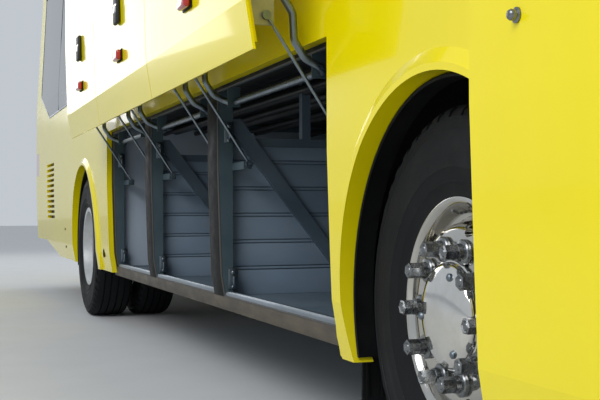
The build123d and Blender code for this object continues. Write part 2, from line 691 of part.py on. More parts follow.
def rim_solid(axle_x, y, disc_out, face_out):
    """One wheel: its barrel, and its disc from disc_out at the barrel to face_out at the studs, outward."""
    plane = Plane(origin=(axle_x, y, TYRE_R), x_dir=(0, 1 if y > 0 else -1, 0), z_dir=(1 if y > 0 else -1, 0, 0))
    lean = 1 if face_out > disc_out else -1
    with BuildPart() as rim:
        with BuildSketch(plane):
            with BuildLine():
                Polyline(
                    (-118, RIM_R), (-124, RIM_R), (-124, 268), (-60, 248), (60, 248), (124, 268), (124, RIM_R),
                    (118, RIM_R), (112, RIM_R - 12.5), (-112, RIM_R - 12.5), close=True,
                )
            make_face()
            with BuildLine():
                Polyline(
                    (disc_out - 8 * lean, BARREL_R), (disc_out + 8 * lean, BARREL_R), (face_out + 8 * lean, 205),
                    (face_out + 8 * lean, 60), (face_out - 8 * lean, 60), (face_out - 8 * lean, 200), close=True,
                )
            make_face()
        revolve(axis=Axis(plane.origin, (0, 1, 0)))
        with BuildSketch(Plane(origin=plane.origin, x_dir=(1, 0, 0), z_dir=(0, 1, 0))):
            with PolarLocations(HAND_CIRCLE_R, STUD_COUNT, start_angle=18):
                Circle(HAND_HOLE_R)
        extrude(amount=300, both=True, mode=Mode.SUBTRACT)
    return rim.part


def hub_profile(axle_x, y, points):
    """A turned hub piece, from points given as outward distance and radius."""
    out = 1 if y > 0 else -1
    plane = Plane(origin=(axle_x, y, TYRE_R), x_dir=(0, out, 0), z_dir=(out, 0, 0))
    with BuildPart() as hub:
        with BuildSketch(plane):
            with BuildLine():
                Polyline(*points, close=True)
            make_face()
        revolve(axis=Axis(plane.origin, (0, 1, 0)))
    return hub.part


def nuts(axle_x, y, length):
    """The ring of wheel nuts, from y outward."""
    out = 1 if y > 0 else -1
    with BuildPart() as ring:
        with BuildSketch(Plane(origin=(axle_x, y, TYRE_R), x_dir=(1, 0, 0), z_dir=(0, out, 0))):
            with PolarLocations(STUD_CIRCLE_R, STUD_COUNT, start_angle=-out * STUD_TURN):
                RegularPolygon(NUT_R, 6)
        extrude(amount=length)
    return ring.part


FRONT_FACE_OUT = 128
REAR_FACE_IN = TWIN_SPACING / 2 - 8
NUT_R = 19
HUB_CAP_R = 132
for side, name in ((-1, "right"), (1, "left")):
    y = side * FRONT_TRACK_HALF
    save(tyre_solid(FRONT_AXLE_X, y), f"front_tyre_{name}")
    with BuildPart() as rim:
        add(rim_solid(FRONT_AXLE_X, y, 84, FRONT_FACE_OUT))
        add(hub_profile(FRONT_AXLE_X, y, (
            (-60, HUB_BORE_R), (-60, 150), (60, 150), (60, 120), (FRONT_FACE_OUT - 8, 120), (FRONT_FACE_OUT + 8, HUB_CAP_R),
            (FRONT_FACE_OUT + 22, HUB_CAP_R), (FRONT_FACE_OUT + 38, 112), (FRONT_FACE_OUT + 50, 72),
            (FRONT_FACE_OUT + 55, 0), (FRONT_FACE_OUT - 60, 0), (FRONT_FACE_OUT - 60, HUB_BORE_R),
        )))
        add(nuts(FRONT_AXLE_X, y + side * (FRONT_FACE_OUT + 7), 66))
    save(rim.part, f"front_rim_{name}")

    y = side * REAR_TRACK_HALF
    spots = (y + side * TWIN_SPACING / 2, y - side * TWIN_SPACING / 2)
    with BuildPart() as tyres:
        for spot in spots:
            add(tyre_solid(REAR_AXLE_X, spot))
    save(tyres.part, f"rear_tyres_{name}")
    with BuildPart() as rims:
        add(rim_solid(REAR_AXLE_X, spots[0], -96, -REAR_FACE_IN))
        add(rim_solid(REAR_AXLE_X, spots[1], 96, REAR_FACE_IN))
        add(hub_profile(REAR_AXLE_X, y, (
            (-180, 90), (-180, 210), (-60, 210), (-60, 120), (40, 120), (60, 110), (150, 100), (168, 60), (168, 0),
            (140, 0), (140, HUB_BORE_R), (-100, HUB_BORE_R), (-100, 90),
        )))
        add(nuts(REAR_AXLE_X, y + side * 15, 60))
    save(rims.part, f"rear_rims_{name}")

# Luggage flaps: panel, arm and link rods of each, made shut, then set open on the right
SHUT_EYE = (ARM_IN, ARM_Z - ARM_REACH)


def turned(point, centre, angle):
    """A point, as depth and level, turned about another so that what hangs there swings outward."""
    deep, high = point[0] - centre[0], point[1] - centre[1]
    turn = radians(angle)
    return (centre[0] + deep * cos(turn) + high * sin(turn), centre[1] - deep * sin(turn) + high * cos(turn))


OPEN_EYE = turned(SHUT_EYE, (ARM_IN, ARM_Z), ARM_SWING)
LINK_FOOT = (LINK_IN, LINK_Z)


def spot(side, point):
    """A place across the coach, as y and z, from a depth and a level."""
    return (side * (HALF - point[0]), point[1])


def swing(shape, side, centre, angle):
    """A shape turned outward about a lengthwise axis."""
    y, z = spot(side, centre)
    return shape.rotate(Axis((0, y, z), (1, 0, 0)), side * angle)


def flap_section(thick, low, high):
    """The flap's section as depth and level: its outer face and its inner face a thickness behind."""
    levels = [high] + [z for z in (980, 680, CREASE_Z) if low < z < high] + [low]
    return [(side_in(z), z) for z in levels] + [(side_in(z) + thick, z) for z in reversed(levels)]


for side, name in ((-1, "right"), (1, "left")):
    for number, (bay0, bay1) in enumerate(BAY_X):
        place = ("rear", "middle", "front")[number]
        x0 = POST_X[number] + FLAP_GAP / 2
        x1 = POST_X[number + 1] - FLAP_GAP / 2
        legs = (bay0 + ARM_INSET, bay1 - ARM_INSET)
        links = (bay0 + LINK_REAR, bay1 - LINK_FRONT)
        with BuildPart() as flap:
            for thick, edge in ((FLAP_SKIN, 0), (FLAP_T, FLAP_EDGE)):
                with BuildSketch(Plane.YZ.offset(x0 + edge)):
                    with BuildLine():
                        Polyline(*[spot(side, p) for p in flap_section(thick, FLAP_LOW_Z + edge, FLAP_TOP_Z - edge)], close=True)
                    make_face()
                extrude(amount=x1 - x0 - 2 * edge)
            # Eye plates for the arm, with their pins
            for leg, toward in zip(legs, (1, -1)):
                face = leg - toward * (TANG_T / 2 + FIT)
                plate = sorted((face, face - toward * EYE_PLATE_T))
                side_block(side, *plate, FLAP_T - 2, ARM_IN + EYE_R, SHUT_EYE[1] - EYE_R, SHUT_EYE[1] + EYE_R)
                pin = sorted((face, face + toward * (TANG_T + 2 * FIT + 6)))
                with BuildSketch(Plane.YZ.offset(pin[0])):
                    with Locations(spot(side, SHUT_EYE)):
                        Circle(PIN_R)
                extrude(amount=pin[1] - pin[0])
            # Bracket plates for the link rods' bolts
            if side < 0:
                for link in links:
                    face = link - TANG_T / 2 - 3
                    side_block(side, face - EYE_PLATE_T, face, FLAP_T - 2, LINK_HEAD[0] + 27, LINK_HEAD[1] - 30, LINK_HEAD[1] + 75)
                    with BuildSketch(Plane.YZ.offset(face - 20)):
                        with Locations(spot(side, LINK_HEAD)):
                            Circle(PIN_R + FIT)
                    extrude(amount=30, mode=Mode.SUBTRACT)

        with BuildPart() as arm:
            leg_points = [spot(side, (ARM_IN + crank, ARM_Z - along)) for along, crank in ARM_LEG]
            path = [(legs[0], *p) for p in reversed(leg_points)] + [(legs[1], *p) for p in leg_points]
            with BuildLine() as route:
                FilletPolyline(*path, radius=ARM_BEND_R)
            with BuildSketch(Plane(origin=route.line @ 0, z_dir=route.line % 0)):
                Circle(ARM_TUBE_R)
            sweep(path=route.line)
            for leg in legs:
                with BuildSketch(Plane.YZ.offset(leg - TANG_T / 2)):
                    with Locations(spot(side, (ARM_IN, SHUT_EYE[1] + TANG_L / 2))):
                        SlotCenterToCenter(TANG_L, 2 * EYE_R - 4, rotation=90)
                    with Locations(spot(side, SHUT_EYE)):
                        Circle(PIN_R + FIT, mode=Mode.SUBTRACT)
                extrude(amount=TANG_T)

        if side > 0:
            save(flap.part, f"flap_{name}_{place}")
            save(arm.part, f"flap_arm_{name}_{place}")
            continue

        with BuildPart() as link_rods:
            for link in links:
                foot = Vector(link, *spot(side, LINK_FOOT))
                head = Vector(link, *spot(side, LINK_HEAD))
                step = (head - foot).normalized()
                rod(foot + step * 9, head - step * 9, LINK_ROD_R * 0.75)
                rod(foot + step * 46, head - step * 46, LINK_ROD_R)
                for eye in (foot, head):
                    with BuildSketch(Plane.YZ.offset(link - TANG_T / 2)):
                        with Locations((eye.Y, eye.Z)):
                            Circle(LINK_EYE_R)
                    extrude(amount=TANG_T)
                with BuildSketch(Plane.YZ.offset(link - TANG_T)):
                    with Locations((foot.Y, foot.Z)):
                        Circle(PIN_R + FIT)
                extrude(amount=2 * TANG_T, mode=Mode.SUBTRACT)
                # The head's bolt passes the flap's bracket and ends in a washer behind it
                back = link - TANG_T / 2 - EYE_PLATE_T - 4
                with BuildSketch(Plane.YZ.offset(back - 4)):
                    with Locations((head.Y, head.Z)):
                        Circle(LINK_WASHER_R)
                extrude(amount=4)
                with BuildSketch(Plane.YZ.offset(back)):
                    with Locations((head.Y, head.Z)):
                        Circle(PIN_R)
                extrude(amount=link - back)
        arm_pivot = (ARM_IN, ARM_Z)
        shift = Vector(0, *spot(side, OPEN_EYE)) - Vector(0, *spot(side, SHUT_EYE))
        save(flap.part.moved(Location(shift)), f"flap_{name}_{place}")
        save(swing(arm.part, side, arm_pivot, ARM_SWING), f"flap_arm_{name}_{place}")
        save(swing(link_rods.part, side, LINK_FOOT, ARM_SWING), f"flap_links_{name}_{place}")

# Entry door, standing open: its panel has moved back and outward from the doorway
DOOR_BACK = DOOR_ARM_REACH * (1 - cos(radians(DOOR_ARM_SWING)))
DOOR_OUT = DOOR_ARM_REACH * sin(radians(DOOR_ARM_SWING))
DOOR_WINDOW = (DOOR_REAR_X + 110, DOOR_FRONT_X - 50, -1300, -1000, 1450, 2600)
door_in = HALF - DOOR_POST_IN
with BuildPart() as door:
    block(DOOR_REAR_X + DOOR_GAP, DOOR_FRONT_X - DOOR_GAP, -1300, -1000, DOOR_LOW_Z, DOOR_TOP_Z - DOOR_GAP)
    add(shell, mode=Mode.INTERSECT)
    block(*DOOR_WINDOW, mode=Mode.SUBTRACT)
    for z in (DOOR_ARM_Z - DOOR_LUG_GAP - 10, DOOR_ARM_Z + DOOR_LUG_GAP):
        block(DOOR_POST_X + DOOR_ARM_REACH - 25, DOOR_POST_X + DOOR_ARM_REACH + 25, -(HALF - WALL) - 2, -door_in + 18, z, z + 10)
    with Locations((DOOR_POST_X + DOOR_ARM_REACH, -door_in, DOOR_ARM_Z)):
        Cylinder(DOOR_PIN_R, 2 * DOOR_LUG_GAP + 20)
x0, x1, y0, y1, z0, z1 = DOOR_WINDOW
with BuildPart() as door_glass:
    block(x0 + FIT, x1 - FIT, y0, y1, z0 + FIT, z1 - FIT)
    add(outer, mode=Mode.INTERSECT)
    add(glazed, mode=Mode.SUBTRACT)
door_shift = Location((-DOOR_BACK, -DOOR_OUT, 0))
save(door.part.moved(door_shift), "entry_door")
save(door_glass.part.moved(door_shift), "entry_door_glass")

door_turn = radians(DOOR_ARM_SWING)
DOOR_ARM_KNEES = ((0, 0), (40, 100), (150, 135), (DOOR_ARM_REACH, 0))


def door_arm_point(along, bulge):
    """A point of the door's arm as it stands open, by distance along the reach and bulge to the clear side."""
    x = DOOR_POST_X + along * cos(door_turn) + bulge * sin(door_turn)
    y = -door_in - along * sin(door_turn) + bulge * cos(door_turn)
    return (x, y, DOOR_ARM_Z)


with BuildPart() as door_arm:
    path = [door_arm_point(*knee) for knee in DOOR_ARM_KNEES]
    for start, finish in zip(path[:-1], path[1:]):
        rod(start, finish, DOOR_ARM_R)
    for knee in path[1:3]:
        with Locations(knee):
            Sphere(DOOR_ARM_R)
    with Locations(path[-1]):
        Cylinder(26, 2 * (DOOR_LUG_GAP - FIT))
        Cylinder(DOOR_PIN_R + FIT, 200, mode=Mode.SUBTRACT)
    with Locations((DOOR_POST_X, -door_in, 440 + FIT)):
        Cylinder(24, 1770, align=(Align.CENTER, Align.CENTER, Align.MIN))
save(door_arm.part, "door_arm")

# Mirrors on bent tubes
MIRROR_X = 5880
MIRROR_Y = 1450
with BuildPart() as mirrors:
    for side in (-1, 1):
        rod((5540, side * 1140, 2860), (5840, side * 1330, 2960), 20)
        rod((5840, side * 1330, 2960), (MIRROR_X, side * MIRROR_Y, 2700), 20)
        with BuildSketch(Plane.XY.offset(2180)):
            with Locations((MIRROR_X, side * MIRROR_Y)):
                RectangleRounded(100, 240, 40)
        extrude(amount=560)
    add(outer, mode=Mode.SUBTRACT)
save(mirrors.part, "mirrors")

# Driver's place
SEAT_X = 4650
with BuildPart() as driver_seat:
    block(SEAT_X, SEAT_X + 500, DRIVER_Y - 250, DRIVER_Y + 250, 1330, 1450)
    block(SEAT_X - 110, SEAT_X + 10, DRIVER_Y - 240, DRIVER_Y + 240, 1380, 2080)
    block(SEAT_X + 130, SEAT_X + 370, DRIVER_Y - 120, DRIVER_Y + 120, DRIVER_FLOOR_Z, 1330)
save(driver_seat.part, "driver_seat")

WHEEL_HUB = (5270, DRIVER_Y, 1640)
COLUMN_FOOT = (5440, DRIVER_Y, 1380)
dash_room = body_form(WALL + FIT)
with BuildPart() as dashboard:
    with BuildSketch(Plane.XZ.offset(-1150)):
        with BuildLine():
            Polyline((5460, 1000), (5400, 1450), (5520, 1560), (5890, 1480), (5890, 1000), close=True)
        make_face()
    extrude(amount=1150 + 380)
    add(dash_room, mode=Mode.INTERSECT)
    rod(COLUMN_FOOT, WHEEL_HUB, 28)
save(dashboard.part, "dashboard")

with BuildPart() as steering_wheel:
    tilt = (Vector(*WHEEL_HUB) - Vector(*COLUMN_FOOT)).normalized()
    with BuildSketch(Plane(origin=Vector(*WHEEL_HUB) + tilt * FIT, z_dir=tilt)):
        Circle(230)
        Circle(205, mode=Mode.SUBTRACT)
        Rectangle(430, 40)
        Circle(60)
    extrude(amount=26)
save(steering_wheel.part, "steering_wheel")

# Berths in three rows on two levels
BERTH_W = 580
BERTH_L = 1650
BERTH_PITCH = 1800
BERTH_REAR_X = -5480
BERTH_ROWS = 5
LEG = 30
with BuildPart() as berths:
    for y in (-850, 0, 850):
        for level_z in (CABIN_FLOOR_Z + 200, CABIN_FLOOR_Z + 1010):
            for row in range(BERTH_ROWS):
                x0 = BERTH_REAR_X + row * BERTH_PITCH
                with BuildSketch(Plane.XZ.offset(-(y + BERTH_W / 2))):
                    with BuildLine():
                        Polyline(
                            (x0, level_z + 430), (x0 + 60, level_z + 450), (x0 + 420, level_z + 110),
                            (x0 + BERTH_L, level_z + 110), (x0 + BERTH_L, level_z), (x0 + 380, level_z), close=True,
                        )
                    make_face()
                extrude(amount=BERTH_W)
        for row in range(BERTH_ROWS):
            x0 = BERTH_REAR_X + row * BERTH_PITCH
            for x in (x0 + 440, x0 + BERTH_L - 40):
                for edge in (y - BERTH_W / 2, y + BERTH_W / 2 - LEG):
                    block(x, x + LEG, edge, edge + LEG, CABIN_FLOOR_Z, CABIN_FLOOR_Z + 1015)
save(berths.part, "berths")

# Engine over the tail, on feet between the rails
with BuildPart() as engine:
    block(-5500, -4250, -350, 350, 600, 1330)
    rail = RAIL_Y - RAIL_W / 2 - FIT
    for x in (-5400, -4450):
        block(x, x + 90, -rail, rail, RAIL_Z[0] + 10, RAIL_Z[0] + 80)
save(engine.part, "engine")

with BuildPart() as air_conditioner:
    with BuildSketch(Plane.XY.offset(ROOF_Z - 40)):
        RectangleRounded(2600, 1600, 180)
    extrude(amount=190, taper=8)
    add(inner, mode=Mode.SUBTRACT)
    add(shell, mode=Mode.SUBTRACT)
save(air_conditioner.part, "air_conditioner")
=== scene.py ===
import math

import bpy
from mathutils import Matrix, Vector


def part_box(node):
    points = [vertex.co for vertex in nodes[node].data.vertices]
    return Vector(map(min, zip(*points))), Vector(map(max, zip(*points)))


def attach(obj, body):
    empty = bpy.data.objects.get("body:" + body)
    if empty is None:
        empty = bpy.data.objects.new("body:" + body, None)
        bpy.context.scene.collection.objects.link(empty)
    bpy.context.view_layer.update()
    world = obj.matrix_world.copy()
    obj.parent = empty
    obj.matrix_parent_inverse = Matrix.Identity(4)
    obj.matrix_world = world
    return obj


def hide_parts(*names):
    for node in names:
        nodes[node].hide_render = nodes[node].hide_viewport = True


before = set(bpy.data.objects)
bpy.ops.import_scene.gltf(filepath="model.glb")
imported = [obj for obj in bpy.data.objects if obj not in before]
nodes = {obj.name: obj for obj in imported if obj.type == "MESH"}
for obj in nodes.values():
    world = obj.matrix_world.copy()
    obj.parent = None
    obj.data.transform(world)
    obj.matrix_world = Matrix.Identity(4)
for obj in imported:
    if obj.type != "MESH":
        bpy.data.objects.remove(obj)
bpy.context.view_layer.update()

MM = 0.001
SIDES = {"right": -1, "left": 1}
PLACES = ("rear", "middle", "front")

# The photograph's camera, worked out from the coach's own sizes.
EYE = Vector((5.7396, -2.4271, 0.791))
YAW = math.radians(19.796)
PITCH = math.radians(0.655)
ROLL = math.radians(-0.149)
FOCAL_PX = 1050.9
PHOTO_W = 600
SENSOR_MM = 36

# Sockets of the colour mix node, which share one name
MIX_SHARE = 0
MIX_A = 6
MIX_B = 7
MIX_RESULT = 2


def linear(hex_colour):
    """An sRGB hex colour as the linear RGBA that shaders take."""
    parts = [int(hex_colour[i:i + 2], 16) / 255 for i in (1, 3, 5)]
    return [p / 12.92 if p <= 0.04045 else ((p + 0.055) / 1.055) ** 2.4 for p in parts] + [1]


def add(tree, kind, settings={}, values={}, links={}):
    """Adds one node with its settings, its socket values and what feeds it."""
    node = tree.nodes.new(kind)
    for name, value in settings.items():
        setattr(node, name, value)
    for socket, value in values.items():
        node.inputs[socket].default_value = value
    for socket, source in links.items():
        tree.links.new(source, node.inputs[socket])
    return node


def finish(name, colour, worn, rough, patch_mm, grain_mm, relief_mm, metallic=0.0, coat=0.0,
           coat_rough=0.03, worn_share=0.4, stretch=(1, 1, 1), low_darkening=None, ior=1.5, specular=0.5,
           transmission=0.0):
    """A surface whose colour and gloss drift in patches, with a fine grain raised on it.

    rough is the range of its roughness. The sizes of patches, grain and relief are in mm, and
    stretch draws the pattern out along an axis where it is under 1."""
    material =bpy.data.materials.new(name)
    material.use_nodes = True
    tree = material.node_tree
    shader = tree.nodes["Principled BSDF"]
    place = add(tree, "ShaderNodeTexCoord").outputs["Object"]
    spot = add(tree, "ShaderNodeMapping", {}, {"Scale": stretch}, {"Vector": place})
    patches = add(tree, "ShaderNodeTexNoise", {},
                  {"Scale": 1 / (patch_mm * MM), "Detail": 5, "Roughness": 0.6},
                  {"Vector": spot.outputs["Vector"]}).outputs["Fac"]
    grain = add(tree, "ShaderNodeTexNoise", {}, {"Scale": 1 / (grain_mm * MM), "Detail": 2},
                {"Vector": spot.outputs["Vector"]}).outputs["Fac"]
    share = add(tree, "ShaderNodeMapRange", {},
                {"From Min": 0.35, "From Max": 0.75, "To Max": worn_share},
                {"Value": patches}).outputs["Result"]
    tint = add(tree, "ShaderNodeMix", {"data_type": "RGBA"},
               {MIX_A: linear(colour), MIX_B: linear(worn)},
               {MIX_SHARE: share}).outputs[MIX_RESULT]
    # Below a level the colour fades towards a darker one, broken by the patches: darker towards
    # the bottom.
    if low_darkening:
        low, high, low_darkening_colour, most = low_darkening
        height = add(tree, "ShaderNodeSeparateXYZ", {}, {}, {"Vector": place}).outputs["Z"]
        layer = add(tree, "ShaderNodeMapRange", {},
                    {"From Min": high, "From Max": low, "To Max": most},
                    {"Value": height}).outputs["Result"]
        broken = add(tree, "ShaderNodeMath", {"operation": "MULTIPLY"}, {},
                     {0: layer, 1: patches}).outputs[0]
        tint = add(tree, "ShaderNodeMix", {"data_type": "RGBA"}, {MIX_B: linear(low_darkening_colour)},
                   {MIX_SHARE: broken, MIX_A: tint}).outputs[MIX_RESULT]
    gloss = add(tree, "ShaderNodeMapRange", {},
                {"From Min": 0.3, "From Max": 0.7, "To Min": rough[0], "To Max": rough[1]},
                {"Value": patches})
    relief = add(tree, "ShaderNodeBump", {}, {"Strength": 0.5, "Distance": relief_mm * MM},
                 {"Height": grain})
    tree.links.new(tint, shader.inputs["Base Color"])
    tree.links.new(gloss.outputs["Result"], shader.inputs["Roughness"])
    tree.links.new(relief.outputs["Normal"], shader.inputs["Normal"])
    shader.inputs["Metallic"].default_value = metallic
    shader.inputs["Coat Weight"].default_value = coat
    shader.inputs["Coat Roughness"].default_value = coat_rough
    shader.inputs["IOR"].default_value = ior
    shader.inputs["Specular IOR Level"].default_value = specular
    shader.inputs["Transmission Weight"].default_value = transmission
    return material


# A darker, duller yellow low on the panels: full at the first level, gone at the second, its
# colour and share
LOWER_DARKENING = (0.36, 0.75, "#C9BC45", 0.35)

# Two-pack vehicle enamel, sprayed: deep yellow under a clear gloss, a trace of orange peel,
# darker and duller towards the bottom.
enamel_yellow = finish("two_pack_enamel_yellow", "#F4E200", "#E9D400", (0.16, 0.24), 900, 9, 0.05,
                       coat=0.5, coat_rough=0.04, specular=0.2, low_darkening=LOWER_DARKENING)
# Bay steel, brushed over with grey-blue chassis enamel: soft sheen, scuffs where cases slide.
enamel_bay = finish("brushed_enamel_grey_blue", "#566673", "#6E7D88", (0.42, 0.6), 180, 3, 0.12)
# Posts and frames in darker chassis enamel.
enamel_post = finish("brushed_enamel_slate", "#3C4E55", "#53636B", (0.4, 0.6), 120, 2.5, 0.15)
# Chassis black, thick brush-on coating with road dust.
chassis_black = finish("chassis_black_coating", "#17191B", "#3A3833", (0.5, 0.8), 150, 4, 0.4)
# Injection-moulded black polypropylene, fine spark grain.
plastic_black = finish("moulded_polypropylene_black", "#121315", "#1E2022", (0.45, 0.6),
                       200, 1.2, 0.08)
# EPDM sponge rubber extrusion: dead black with a skin.
rubber_seal = finish("epdm_rubber_seal", "#0C0D0E", "#17191A", (0.5, 0.7), 60, 2, 0.1,
                     specular=0.2)
# Carbon-black tyre rubber, moulded, greyed by dust.
tyre_rubber = finish("moulded_tyre_rubber", "#0F1114", "#1D1E1F", (0.55, 0.8), 140, 2.5, 0.2,
                     specular=0.2)
# Forged aluminium wheel, machine polished.
alloy_polished = finish("polished_forged_aluminium", "#C9C7C2", "#9B978E", (0.06, 0.18),
                        90, 1.5, 0.02, metallic=1.0)
# Mill-finish aluminium extrusion, scuffed along its run.
alloy_sill = finish("extruded_aluminium_scuffed", "#8B949C", "#6A6F73", (0.3, 0.5), 60, 1, 0.04,
                    metallic=1.0, stretch=(0.1, 1, 1))
# Zinc-plated steel tube and rod.
steel_zinc = finish("zinc_plated_steel", "#7D8891", "#5A6166", (0.25, 0.45), 40, 1.5, 0.03,
                    metallic=1.0)
# Steel wheel disc in silver wheel paint, dusty.
wheel_silver = finish("silver_wheel_enamel", "#C9CCCE", "#8A857C", (0.3, 0.5), 120, 2, 0.06,
                      metallic=0.35)
# Cast iron hub and axle parts in grey primer with a rust bloom.
iron_cast = finish("cast_iron_primed", "#2B2D2F", "#4A3B30", (0.55, 0.8), 70, 3, 0.4)
# Leathercloth on the berths and the driver's seat, maroon, grained like hide.
vinyl_berth = finish("leathercloth_maroon", "#5A2320", "#471A18", (0.4, 0.55), 120, 1.5, 0.2)
# Tinted toughened glass, green-black by depth of tint.
glass_tinted = finish("tinted_toughened_glass", "#1A2226", "#141A1D", (0.02, 0.05), 800, 30, 0.01,
                      coat=0.5, coat_rough=0.01)
# Laminated windscreen glass, clear with a faint green.
glass_clear = finish("laminated_windscreen_glass", "#DDE8E6", "#D3E0DE", (0.0, 0.02),
                     800, 30, 0.01, ior=1.45, transmission=1.0)
# Clear polycarbonate lamp cover over a bright reflector.
lamp_clear = finish("polycarbonate_lamp_cover", "#D9DDDF", "#B9BEC1", (0.05, 0.12), 80, 8, 0.05,
                    coat=1.0)
# Chromium plating over a pressed cap: a mirror, with a faint haze of brake dust.
chrome = finish("chromium_plated_cap", "#E3E2DF", "#B8B3A8", (0.03, 0.12), 60, 1.2, 0.01,
                metallic=1.0)
# Chromed steel nut covers, duller than the cap, greasy at the roots.
nut_steel = finish("chromed_nut_cover", "#85888B", "#4C4B49", (0.18, 0.36), 14, 0.8, 0.02,
                   metallic=1.0)
# Red acrylic lamp lens, moulded with fine ribs inside.
lens_red = finish("moulded_acrylic_red", "#B3160E", "#8E120C", (0.06, 0.14), 60, 4, 0.06,
                  coat=1.0)
# Grey extruded seal with a chalky skin.
seal_grey = finish("weathered_rubber_bead", "#3B3A38", "#55524E", (0.5, 0.75), 90, 2, 0.1)
# Bracket plate, passivated zinc gone chalky.
zinc_plate = finish("passivated_zinc_plate", "#A9A892", "#8A8A78", (0.4, 0.6), 40, 1.5, 0.05,
                    metallic=0.5)
# Painted sill worn to brown primer and rust by road grit.
sill_rust = finish("worn_sill_primer", "#5B5346", "#3E3C3A", (0.55, 0.8), 60, 2, 0.25,
                   worn_share=0.8, stretch=(0.3, 1, 1))
# Pressed planks of the bay walls, roller-coated grey-blue.
enamel_plank = finish("roller_enamel_blue_grey", "#728496", "#8997A2", (0.38, 0.6), 220, 3, 0.1,
                      stretch=(1, 0.3, 1))
# Plain sheet, sprayed pale grey: the bays' end panels and the blank number plates.
enamel_pale = finish("sprayed_enamel_pale_grey", "#A3B0BF", "#AEB8C1", (0.35, 0.55), 260, 3, 0.08)

NODE_FINISH = {
    "side_panels_right": enamel_yellow, "side_panels_left": enamel_yellow,
    "upper_side_right": enamel_yellow, "upper_side_left": enamel_yellow,
    "roof": enamel_yellow, "front_panel": enamel_yellow, "rear_panel": enamel_yellow,
    "entry_door": enamel_yellow, "air_conditioner": enamel_yellow,
    "windscreen": glass_clear, "entry_door_glass": glass_clear,
    "side_glass": glass_tinted, "rear_glass": glass_tinted,
    "bay_walls": enamel_bay, "bay_frame_right": enamel_post, "bay_frame_left": enamel_post,
    "cabin_floor": chassis_black, "underframe": chassis_black,
    "front_axle": iron_cast, "rear_axle": iron_cast, "engine": iron_cast,
    "knuckle_right": iron_cast, "knuckle_left": iron_cast,
    "arch_liners": plastic_black, "dashboard": plastic_black,
    "mirrors": plastic_black, "steering_wheel": plastic_black,
    "door_arm": steel_zinc, "headlamps": lamp_clear, "tail_lamps": lens_red,
    "driver_seat": vinyl_berth, "berths": vinyl_berth,
}
for side in SIDES:
    NODE_FINISH[f"front_tyre_{side}"] = tyre_rubber
    NODE_FINISH[f"rear_tyres_{side}"] = tyre_rubber
    NODE_FINISH[f"front_rim_{side}"] = alloy_polished
    NODE_FINISH[f"rear_rims_{side}"] = wheel_silver
    for place in PLACES:
        NODE_FINISH[f"flap_{side}_{place}"] = enamel_yellow
        NODE_FINISH[f"flap_arm_{side}_{place}"] = steel_zinc
        NODE_FINISH[f"flap_links_{side}_{place}"] = steel_zinc
for name, obj in nodes.items():
    obj.data.materials.clear()
    obj.data.materials.append(NODE_FINISH[name])

# The coach's half width, and how far its side stands in from it at levels from the roof down
HALF = 1.25
SIDE_CURVE = ((3.33, 0.075), (1.9, 0.0), (0.98, 0.0), (0.68, 0.009), (0.52, 0.015), (0.345, 0.044))
# The luggage bays' posts along the coach, and the seam over the flaps
POSTS = (-1.387, -0.178, 1.232, 2.715)
POST_HALF = 0.084
SEAM = 1.335
BAYS = [(rear + POST_HALF, front - POST_HALF) for rear, front in zip(POSTS, POSTS[1:])]
# Angles in degrees below which edges are shaded smooth
CRISP = 35
FIRM = 40
EASED = 50
ROUND = 60


def clear():
    """Leaves nothing selected."""
    bpy.ops.object.select_all(action="DESELECT")


def select(piece):
    """Selects one piece and makes it active."""
    clear()
    piece.select_set(True)
    bpy.context.view_layer.objects.active = piece


def start():
    """A lone vertex at the origin, in edit mode, to be drawn out."""
    clear()
    bpy.ops.mesh.primitive_plane_add(size=1)
    piece = bpy.context.object
    bpy.ops.object.mode_set(mode="EDIT")
    bpy.ops.mesh.select_mode(type="VERT")
    bpy.ops.mesh.select_all(action="SELECT")
    bpy.ops.mesh.merge(type="CENTER")
    return piece


def draw(points):
    """Draws the vertex along a line of points."""
    bpy.ops.transform.translate(value=points[0])
    for here, there in zip(points, points[1:]):
        step = [b - a for a, b in zip(here, there)]
        bpy.ops.mesh.extrude_region_move(TRANSFORM_OT_translate={"value": step})


def turned(profile, steps):
    """A piece turned about the Y axis, from points given as distance along it and radius."""
    piece = start()
    draw([(0, along, radius) for along, radius in profile])
    bpy.ops.mesh.select_all(action="SELECT")
    bpy.ops.mesh.spin(steps=steps, angle=math.tau, center=(0, 0, 0), axis=(0, 1, 0))
    bpy.ops.mesh.select_all(action="SELECT")
    bpy.ops.mesh.remove_doubles(threshold=0.00002)
    bpy.ops.mesh.normals_make_consistent(inside=False)
    bpy.ops.object.mode_set(mode="OBJECT")
    return piece


def plate(outline, depth, edge=0.0):
    """A flat piece: its outline is drawn and filled, then extruded, and its edges are eased."""
    piece = start()
    draw(outline)
    bpy.ops.mesh.select_all(action="SELECT")
    bpy.ops.mesh.edge_face_add()
    bpy.ops.mesh.extrude_region_move(TRANSFORM_OT_translate={"value": depth})
    bpy.ops.mesh.select_all(action="SELECT")
    bpy.ops.mesh.normals_make_consistent(inside=False)
    if edge:
        bpy.ops.mesh.bevel(offset=edge, segments=2, affect="EDGES")
    bpy.ops.object.mode_set(mode="OBJECT")
    return piece


def bar(low, high, edge=0.0015, segments=2):
    """A bar or block between two corners, its edges rounded."""
    clear()
    middle = [(a + b) / 2 for a, b in zip(low, high)]
    size = [b - a for a, b in zip(low, high)]
    bpy.ops.mesh.primitive_cube_add(size=1, location=middle, scale=size)
    piece = bpy.context.object
    bpy.ops.object.transform_apply(location=True, rotation=True, scale=True)
    bpy.ops.object.mode_set(mode="EDIT")
    bpy.ops.mesh.select_all(action="SELECT")
    bpy.ops.mesh.bevel(offset=edge, segments=segments, affect="EDGES")
    bpy.ops.object.mode_set(mode="OBJECT")
    return piece


def rod(radius, depth, sides, along=0.0):
    """A plain rod lying along the Y axis."""
    clear()
    bpy.ops.mesh.primitive_cylinder_add(vertices=sides, radius=radius, depth=depth,
                                        location=(0, along, 0), rotation=(math.pi / 2, 0, 0))
    bpy.ops.object.transform_apply(location=True, rotation=True, scale=True)
    return bpy.context.object


